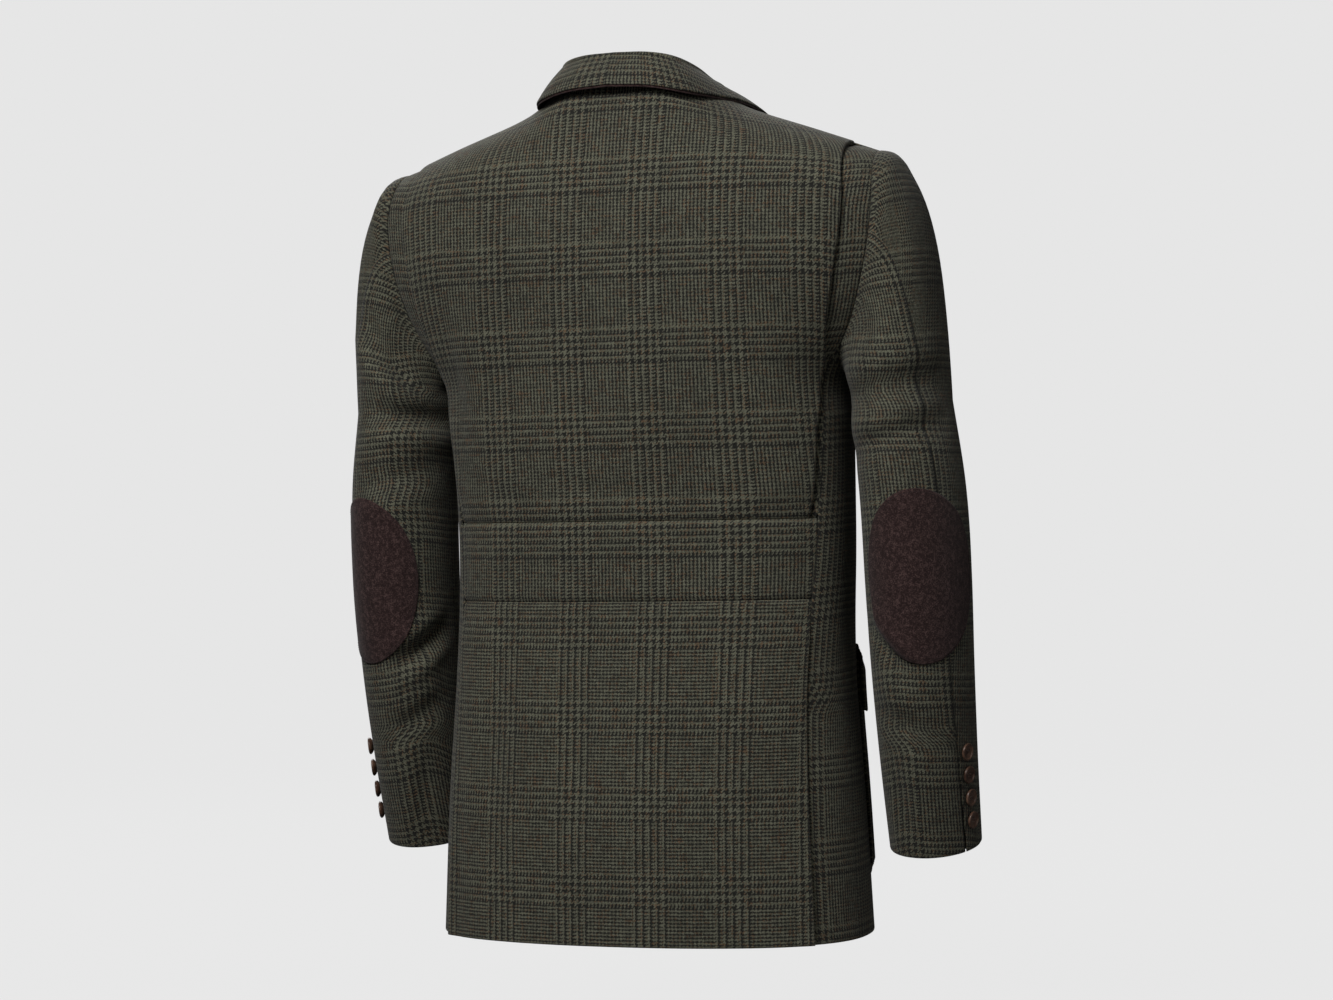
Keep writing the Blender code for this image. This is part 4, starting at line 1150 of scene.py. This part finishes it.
def pockets():
    """Patch pockets that stand off the fronts and the flaps over their mouths, sewn near the edge."""
    rear, fore = POCKET_REAR_ANGLE, POCKET_FORE_ANGLE
    for label, side in SIDES:
        pocket = POCKET_TOP, POCKET_BOTTOM, rear, fore, POCKET_CORNER
        angles, heights, near = pocket_grid(*pocket, POCKET_ROWS, POCKET_COLUMNS)
        lift = WALL + LAYER_GAP + POCKET_LIFT * ease(near, 0, POCKET_EDGE)
        sewn_patch("pocket_" + label, side, angles, heights, lift)
        flap = FLAP_TOP, FLAP_BOTTOM, rear - FLAP_OVERHANG, fore + FLAP_OVERHANG, POCKET_CORNER / 2
        angles, heights, _ = pocket_grid(*flap, FLAP_ROWS, POCKET_COLUMNS)
        depth = FLAP_TOP - heights
        lift = WALL + LAYER_GAP + (WALL + 2.5 * LAYER_GAP) * ease(depth, 0.001, 0.013)
        from_side = np.minimum(angles - angles.min(), angles.max() - angles) * METRES_PER_POCKET_DEGREE
        lift = lift + POCKET_LIFT * ease(depth, 0.006, 0.026) * ease(from_side, 0, POCKET_EDGE)
        sewn_patch("pocket_flap_" + label, side, angles, heights, lift)


def sewn_patch(name, side, angles, heights, lift):
    """A piece of cloth on a front with a row of stitches down its sides and along its foot."""
    outer, facing = on_body(body_at_angle(angles, heights), lift)
    lengths = cloth_lengths(outer)
    label = name.rsplit("_", 1)[1]
    outer, facing = settled(mirrored(outer, side)), mirrored(facing, side)
    add_cloth(name, outer, facing, lengths, held="laid", rests_on=("front_" + label,))
    rims = []
    for grid in (outer, facing):
        rims.append(np.concatenate([grid[-2:2:-1, 1], grid[2, 1:-1], grid[2:-1, -2]]))
    going_with[name] = stitches(name + "_stitches", *rims, False, "tweed")


def button(name, centre, facing, radius, side):
    """A turned button with a raised rim, four holes and a short foot in the middle that ends in the cloth.
    """
    centre = mirrored(np.asarray(centre), side)
    facing = mirrored(np.asarray(facing), side)
    across = unit(np.cross(facing, (0.0, 0.0, 1.0)))
    upward = np.cross(across, facing)
    u, v = disc(BUTTON_STEPS, 1.25)
    reach = np.hypot(u, v)
    top = np.interp(reach, *zip(*BUTTON_FACE))
    foot = np.interp(reach, *zip(*BUTTON_FOOT))
    for hole_u, hole_v in BUTTON_HOLES:
        away = np.hypot(u - hole_u, v - hole_v)
        top = top - BUTTON_HOLE_DEPTH * (1 - ease(away, *BUTTON_HOLE_RADII))
    flat = centre + radius * (u[..., None] * across + v[..., None] * upward)
    layers = [flat + BUTTON_THICKNESS * height[..., None] * facing for height in (top, foot)]
    horn = bpy.data.materials[FINISHES["button"]]
    piece = add_piece(name + "_turned", two_layers(*layers), wall_faces(*u.shape), horn)
    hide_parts(name)


def buttons():
    """Four buttons on each cuff and three down the front."""
    for label, side in SIDES:
        for number, height in enumerate(CUFF_BUTTON_HEIGHTS, 1):
            angle = hind_seam_angle(height) - CUFF_BUTTON_INSET
            facing = sleeve_normals(angle, height)
            centre = swung(sleeve_ring(angle, height) + LAYER_GAP * facing, side)
            button(f"cuff_button_{label}_{number}", centre, facing, CUFF_BUTTON_RADIUS, side)
    for number, height in enumerate(FRONT_BUTTON_HEIGHTS, 1):
        place = body_at_angle(180.0, np.array(height))
        facing = body_normals(place)
        button(f"front_button_{number}", place + LAYER_GAP * facing, facing, FRONT_BUTTON_RADIUS, 1)


class Value:
    """A socket of a node tree that takes part in arithmetic."""

    def __init__(self, tree, socket=None):
        self.tree = tree
        self.socket = socket

    def node(self, kind, settings, *inputs, output=0):
        """Adds a node, sets it up, then fills its sockets in order with plain values or other sockets."""
        made = self.tree.nodes.new(kind)
        for name, setting in settings.items():
            setattr(made, name, setting)
        for place, given in enumerate(inputs):
            if isinstance(given, Value):
                self.tree.links.new(given.socket, made.inputs[place])
            elif given is not None:
                made.inputs[place].default_value = given
        return Value(self.tree, made.outputs[output])

    def maths(self, operation, *inputs):
        return self.node("ShaderNodeMath", {"operation": operation}, *inputs)

    def __add__(self, other):
        return self.maths("ADD", self, other)

    def __sub__(self, other):
        return self.maths("SUBTRACT", self, other)

    def __rsub__(self, other):
        return self.maths("SUBTRACT", other, self)

    def __mul__(self, other):
        return self.maths("MULTIPLY", self, other)

    def __rmul__(self, other):
        return self.maths("MULTIPLY", other, self)

    def __truediv__(self, other):
        return self.maths("DIVIDE", self, other)

    def __mod__(self, other):
        return self.maths("FLOORED_MODULO", self, other)

    def __lt__(self, other):
        return self.maths("LESS_THAN", self, other)

    def floor(self):
        return self.maths("FLOOR", self)

    def between(self, other, share):
        """This number where share is 0 and the other where it is 1."""
        return self + (other - self) * share

    def mixed(self, other, share):
        """The same for colours."""
        settings = {"data_type": "RGBA", "clamp_factor": True}
        unused = [None] * 5
        return self.node("ShaderNodeMix", settings, share, *unused, self, other, output=2)

    def colour(self, value):
        made = self.node("ShaderNodeRGB", {})
        made.socket.default_value = (*value, 1)
        return made

    def noise(self, place, values, dimensions="3D", output=0):
        settings = {"noise_dimensions": dimensions}
        return self.node("ShaderNodeTexNoise", settings, place, None, *values, output=output)


def new_material(name):
    """A material with only its shader, and a start for its arithmetic."""
    material = bpy.data.materials.new(name)
    material.use_nodes = True
    return material, Value(material.node_tree)


def finish_material(material, values):
    """Fills the shader's sockets, by name, with plain values or with other sockets."""
    inputs = material.node_tree.nodes["Principled BSDF"].inputs
    for name, value in values.items():
        if isinstance(value, Value):
            material.node_tree.links.new(value.socket, inputs[name])
        else:
            inputs[name].default_value = value


def yarn_is_dark(number, yarns, phase=0):
    """1 for the dark yarns: four and four in the first zone, two and two in the second."""
    coarse, fine = yarns
    place = number % (coarse + fine)
    coarse_dark = (place % 8) < 4
    fine_dark = ((place - coarse + phase) % 4) < 2
    return fine_dark.between(coarse_dark, place < coarse)


def tweed_material(name, phase):
    """A glen check in two-and-two twill: each crossing shows the yarn that lies on top.

    The weft's phase sets whether the fine zones show upright or level lines.
    """
    settings = bpy.context.scene.jacket_colours
    material, start = new_material(name)
    place = start.node("ShaderNodeUVMap", {"uv_map": "cloth"})
    wander = start.noise(place, WANDER_NOISE, "2D", output=1)
    wander_u = start.node("ShaderNodeSeparateColor", {}, wander) - 0.5
    wander_v = start.node("ShaderNodeSeparateColor", {}, wander, output=1) - 0.5
    u = start.node("ShaderNodeSeparateXYZ", {}, place) / WARP_SPACING
    v = start.node("ShaderNodeSeparateXYZ", {}, place, output=1) / WEFT_SPACING
    u = u + wander_u * settings.unevenness
    v = v + wander_v * settings.unevenness
    warp, weft = u.floor(), v.floor()
    warp_over = ((warp + weft) % 4) < 2
    dark = yarn_is_dark(weft, WEFT_YARNS, phase).between(yarn_is_dark(warp, WARP_YARNS), warp_over)
    yarn = weft.between(warp, warp_over)
    stretch = (u / FLECK_YARNS).floor().between((v / FLECK_YARNS).floor() + 500, warp_over)
    spot = start.node("ShaderNodeCombineXYZ", {}, yarn, stretch, 0.0)
    chance = start.node("ShaderNodeTexWhiteNoise", {"noise_dimensions": "2D"}, spot)
    tint = start.node("ShaderNodeTexWhiteNoise", {"noise_dimensions": "2D"}, spot, output=1)
    brown = start.colour(settings.brown_yarn)
    light = start.colour(settings.light_yarn).mixed(brown, 0.75 * (chance < settings.fleck_share))
    colour = light.mixed(start.colour(settings.dark_yarn), dark)
    broad = start.noise(place, BROAD_NOISE, "2D")
    grain = start.node("ShaderNodeSeparateColor", {}, tint, output=2) * 0.7 + 0.65 + (broad - 0.5) * 0.3
    round_u = (u % 1) * 2 - 1
    round_v = (v % 1) * 2 - 1
    height = (1 - round_v * round_v).between(1 - round_u * round_u, warp_over)
    finish_material(material, {
        "Base Color": start.node("ShaderNodeVectorMath", {"operation": "SCALE"}, colour, None, None, grain),
        "Normal": start.node("ShaderNodeBump", {}, 0.6, 0.00018, None, height),
        "Roughness": 0.92,
        "Specular IOR Level": 0.25,
        "Sheen Weight": 0.08,
        "Sheen Roughness": 0.5,
    })


def patch_material():
    """Felted dark wool with paler flecks."""
    settings = bpy.context.scene.jacket_colours
    material, start = new_material("elbow_patch_wool")
    place = start.node("ShaderNodeTexCoord", {}, output=3)
    fibres = start.noise(place, FIBRE_NOISE)
    clumps = start.noise(place, CLUMP_NOISE)
    share = start.node("ShaderNodeMapRange", {}, fibres * 0.65 + clumps * 0.35, 0.47, 0.63, 0.0, 1.0)
    finish_material(material, {
        "Base Color": start.colour(settings.patch).mixed(start.colour(settings.patch_fleck), share),
        "Normal": start.node("ShaderNodeBump", {}, 0.5, 0.0003, None, fibres),
        "Roughness": 0.95,
        "Specular IOR Level": 0.2,
        "Sheen Weight": 0.1,
    })


def button_material():
    """Brown horn with darker and paler clouds."""
    settings = bpy.context.scene.jacket_colours
    material, start = new_material("button_horn")
    clouds = start.noise(start.node("ShaderNodeTexCoord", {}, output=3), HORN_NOISE)
    share = start.node("ShaderNodeMapRange", {}, clouds, 0.38, 0.64, 0.0, 1.0)
    colour = start.colour(settings.horn_dark).mixed(start.colour(settings.horn_light), share)
    finish_material(material, {"Base Color": colour, "Roughness": 0.32})


def materials():
    """Every material, with plain ones for the threads and for the stage, which glows."""
    settings = bpy.context.scene.jacket_colours
    tweed_material("tweed_weave", 2)
    tweed_material("tweed_weave_level", 0)
    patch_material()
    button_material()
    glow = {"Emission Color": (1, 1, 1, 1), "Emission Strength": STAGE_GLOW, "Specular IOR Level": 0.0}
    plain_ones = (
        ("tweed_thread", settings.dark_yarn, 0.8, {}),
        ("elbow_patch_thread", settings.patch_thread, 0.8, {}),
        ("stage", settings.stage, 0.9, glow),
    )
    for name, colour, roughness, others in plain_ones:
        values = {"Base Color": (*colour, 1), "Roughness": roughness, **others}
        finish_material(new_material(name)[0], values)


def area_light(name, place, target, size, power):
    """A large square light that faces a point."""
    data = bpy.data.lights.new(name, "AREA")
    data.shape = "SQUARE"
    data.size = size
    data.energy = power
    light = bpy.data.objects.new(name, data)
    light.location = place
    light.rotation_euler = (Vector(target) - Vector(place)).to_track_quat("-Z", "Y").to_euler()
    bpy.context.scene.collection.objects.link(light)


def camera_axes():
    """Level directions away from the camera and to its right, and straight up."""
    azimuth = np.radians(CAMERA_AZIMUTH)
    look = np.array((-np.sin(azimuth), np.cos(azimuth), 0.0))
    right = np.array((np.cos(azimuth), np.sin(azimuth), 0.0))
    return look, right, np.array((0.0, 0.0, 1.0))


def stage_floor():
    """A pale floor that sweeps up behind the jacket. It throws no light on the cloth."""
    look, right, up = camera_axes()
    turn = np.radians(np.linspace(0, 90, 25))
    end = STAGE_FAR + STAGE_RADIUS
    reach = np.concatenate([(STAGE_NEAR,), STAGE_FAR + STAGE_RADIUS * np.sin(turn), (end,)])
    rise = np.concatenate([(0.0,), STAGE_RADIUS * (1 - np.cos(turn)), (STAGE_TOP,)])
    points, faces = [], []
    for ahead, climb in zip(reach, rise):
        for across in (-STAGE_HALF_WIDTH, STAGE_HALF_WIDTH):
            points.append((ahead * look + across * right + (FLOOR_HEIGHT + climb) * up).tolist())
    for row in range(len(reach) - 1):
        faces.append((2 * row, 2 * row + 1, 2 * row + 3, 2 * row + 2))
    mesh = bpy.data.meshes.new("stage_floor")
    mesh.from_pydata(points, [], faces)
    mesh.shade_smooth()
    mesh.materials.append(bpy.data.materials["stage"])
    floor = bpy.data.objects.new("stage_floor", mesh)
    bpy.context.scene.collection.objects.link(floor)
    floor.visible_diffuse = False
    floor.visible_glossy = False


def stage():
    """The floor, the soft lights and the camera at the photo's angle."""
    scene = bpy.context.scene
    stage_floor()
    look, right, up = camera_axes()
    aim = np.array((0.0, 0.0, CAMERA_HEIGHT))
    for name, across, back, rise, size, power in LIGHTS:
        area_light(name, aim + across * right - back * look + rise * up, aim, size, power)
    world = bpy.data.worlds.new("studio")
    world.use_nodes = True
    background = world.node_tree.nodes["Background"].inputs
    background["Color"].default_value = (1, 1, 1, 1)
    background["Strength"].default_value = WORLD_STRENGTH
    scene.world = world
    scene.view_settings.view_transform = "Standard"
    roll = np.radians(CAMERA_ROLL)
    camera_right = np.cos(roll) * right - np.sin(roll) * up
    camera_up = np.cos(roll) * up + np.sin(roll) * right
    data = bpy.data.cameras.new("camera")
    data.sensor_width = 36.0
    data.lens = CAMERA_LENS
    data.shift_x = CAMERA_SHIFT
    camera = bpy.data.objects.new("camera", data)
    turn = Matrix((camera_right, camera_up, -look)).transposed()
    camera.matrix_world = Matrix.Translation(aim - CAMERA_DISTANCE * look) @ turn.to_4x4()
    scene.collection.objects.link(camera)
    scene.camera = camera


def declare_sheets():
    """Goes over the flat cut of every piece of cloth and the pieces sewn on it, without stating them."""
    for name, (piece, flat, area, held, rests_on) in sheets.items():
        sewn = [going_with[name]] if name in going_with else []
        min(area, flat[0] * flat[1])


FINISHES = {"tweed": "tweed_weave", "elbow_patch": "elbow_patch_wool", "button": "button_horn"}
sheets = {}
going_with = {}


class JacketSizes(bpy.types.PropertyGroup):
    """Sizes of the sewing."""

    stitch_pitch: bpy.props.FloatProperty(
        name="Stitch Pitch", description="Distance from one stitch to the next",
        default=0.0032, unit="LENGTH",
    )
    stitch_length: bpy.props.FloatProperty(
        name="Stitch Length", description="Length of the thread that shows",
        default=0.0024, unit="LENGTH",
    )
    thread_radius: bpy.props.FloatProperty(
        name="Thread Radius", description="Half the thread's thickness",
        default=0.00028, unit="LENGTH",
    )


class JacketColours(bpy.types.PropertyGroup):
    """Colours of the yarns, patches, buttons and stage."""

    light_yarn: bpy.props.FloatVectorProperty(
        name="Light Yarn", description="The check's paler yarn", default=(0.115, 0.114, 0.081),
        subtype="COLOR",
    )
    dark_yarn: bpy.props.FloatVectorProperty(
        name="Dark Yarn", description="The check's darker yarn",
        default=(0.015, 0.0145, 0.0125),
        subtype="COLOR",
    )
    brown_yarn: bpy.props.FloatVectorProperty(
        name="Brown Flecks", description="Fibres in the paler yarn",
        default=(0.110, 0.060, 0.030),
        subtype="COLOR",
    )
    fleck_share: bpy.props.FloatProperty(
        name="Fleck Share", description="Share of the pale yarn that is flecked",
        default=0.16, subtype="FACTOR",
    )
    unevenness: bpy.props.FloatProperty(
        name="Unevenness", description="How far the yarns wander, in yarn widths", default=2.4
    )
    patch: bpy.props.FloatVectorProperty(
        name="Patch", description="The elbow patches' wool", default=(0.020, 0.0095, 0.0092),
        subtype="COLOR",
    )
    patch_fleck: bpy.props.FloatVectorProperty(
        name="Patch Flecks", description="Paler fibres in the patches",
        default=(0.094, 0.056, 0.052),
        subtype="COLOR",
    )
    patch_thread: bpy.props.FloatVectorProperty(
        name="Patch Thread", description="Thread round the patches",
        default=(0.020, 0.010, 0.010),
        subtype="COLOR",
    )
    horn_dark: bpy.props.FloatVectorProperty(
        name="Horn", description="The buttons' darker brown", default=(0.045, 0.022, 0.014),
        subtype="COLOR",
    )
    horn_light: bpy.props.FloatVectorProperty(
        name="Pale Horn", description="The buttons' paler brown",
        default=(0.160, 0.090, 0.060),
        subtype="COLOR",
    )
    stage: bpy.props.FloatVectorProperty(
        name="Stage", description="The floor and the backdrop", default=(0.02, 0.02, 0.02),
        subtype="COLOR",
    )


class JACKET_OT_materials(bpy.types.Operator):
    """Make the cloth, patch, button and stage materials"""

    bl_idname = "jacket.materials"
    bl_label = "Materials"

    def execute(self, context):
        materials()
        return {"FINISHED"}


class JACKET_OT_back(bpy.types.Operator):
    """Build the upper back with its pleats, the belt and the skirt"""

    bl_idname = "jacket.back"
    bl_label = "Back"

    def execute(self, context):
        back_upper()
        belt = BELT_BOTTOM, BELT_TOP, BELT_ROWS, no_lift, "tweed_weave", BELT_WEAVE_SHIFT
        skirt = HEM, BELT_BOTTOM, SKIRT_ROWS, vent_lift, "tweed_weave_level", SKIRT_WEAVE_SHIFT
        back_band("back_belt", *belt)
        back_band("back_skirt", *skirt)
        return {"FINISHED"}


class JACKET_OT_sides_and_fronts(bpy.types.Operator):
    """Build the panels under the arms and the fronts"""

    bl_idname = "jacket.sides_and_fronts"
    bl_label = "Sides and Fronts"

    def execute(self, context):
        sides_and_fronts()
        return {"FINISHED"}


class JACKET_OT_collar_and_lapels(bpy.types.Operator):
    """Build the collar and the lapels"""

    bl_idname = "jacket.collar_and_lapels"
    bl_label = "Collar and Lapels"

    def execute(self, context):
        collar()
        lapels()
        return {"FINISHED"}


class JACKET_OT_sleeves(bpy.types.Operator):
    """Build the sleeves"""

    bl_idname = "jacket.sleeves"
    bl_label = "Sleeves"

    def execute(self, context):
        sleeves()
        return {"FINISHED"}


class JACKET_OT_elbow_patches(bpy.types.Operator):
    """Build the elbow patches and their stitches"""

    bl_idname = "jacket.elbow_patches"
    bl_label = "Elbow Patches"

    def execute(self, context):
        elbow_patches()
        return {"FINISHED"}


class JACKET_OT_pockets(bpy.types.Operator):
    """Build the pockets and flaps with their stitches"""

    bl_idname = "jacket.pockets"
    bl_label = "Pockets"

    def execute(self, context):
        pockets()
        return {"FINISHED"}


class JACKET_OT_buttons(bpy.types.Operator):
    """Build the cuff and front buttons"""

    bl_idname = "jacket.buttons"
    bl_label = "Buttons"

    def execute(self, context):
        buttons()
        return {"FINISHED"}


class JACKET_OT_sheets(bpy.types.Operator):
    """Go over the flat cut of each piece of cloth, without stating it"""

    bl_idname = "jacket.sheets"
    bl_label = "Cloth Cuts"

    def execute(self, context):
        declare_sheets()
        return {"FINISHED"}


class JACKET_OT_stage(bpy.types.Operator):
    """Set the floor, lights and camera"""

    bl_idname = "jacket.stage"
    bl_label = "Stage"

    def execute(self, context):
        stage()
        return {"FINISHED"}


OPERATORS = (
    JACKET_OT_materials,
    JACKET_OT_back,
    JACKET_OT_sides_and_fronts,
    JACKET_OT_collar_and_lapels,
    JACKET_OT_sleeves,
    JACKET_OT_elbow_patches,
    JACKET_OT_pockets,
    JACKET_OT_buttons,
    JACKET_OT_sheets,
    JACKET_OT_stage,
)


class JACKET_PT_panel(bpy.types.Panel):
    """The jacket's steps, in order"""

    bl_idname = "JACKET_PT_panel"
    bl_label = "Tweed Jacket"
    bl_space_type = "VIEW_3D"
    bl_region_type = "UI"
    bl_category = "Jacket"

    def draw(self, context):
        for group in (context.scene.jacket_sizes, context.scene.jacket_colours):
            for name in group.__annotations__:
                self.layout.prop(group, name)
        for operator in OPERATORS:
            self.layout.operator(operator.bl_idname)


CLASSES = (JacketSizes, JacketColours, *OPERATORS, JACKET_PT_panel)


def register():
    for item in CLASSES:
        bpy.utils.register_class(item)
    bpy.types.Scene.jacket_sizes = bpy.props.PointerProperty(type=JacketSizes)
    bpy.types.Scene.jacket_colours = bpy.props.PointerProperty(type=JacketColours)


def unregister():
    del bpy.types.Scene.jacket_colours
    del bpy.types.Scene.jacket_sizes
    for item in reversed(CLASSES):
        bpy.utils.unregister_class(item)


def main():
    register()
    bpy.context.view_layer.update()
    bpy.ops.jacket.materials()
    bpy.ops.jacket.back()
    bpy.ops.jacket.sides_and_fronts()
    bpy.ops.jacket.collar_and_lapels()
    bpy.ops.jacket.sleeves()
    bpy.ops.jacket.elbow_patches()
    bpy.ops.jacket.pockets()
    bpy.ops.jacket.buttons()
    bpy.ops.jacket.sheets()
    bpy.ops.jacket.stage()


if __name__ == "__main__":
    main()
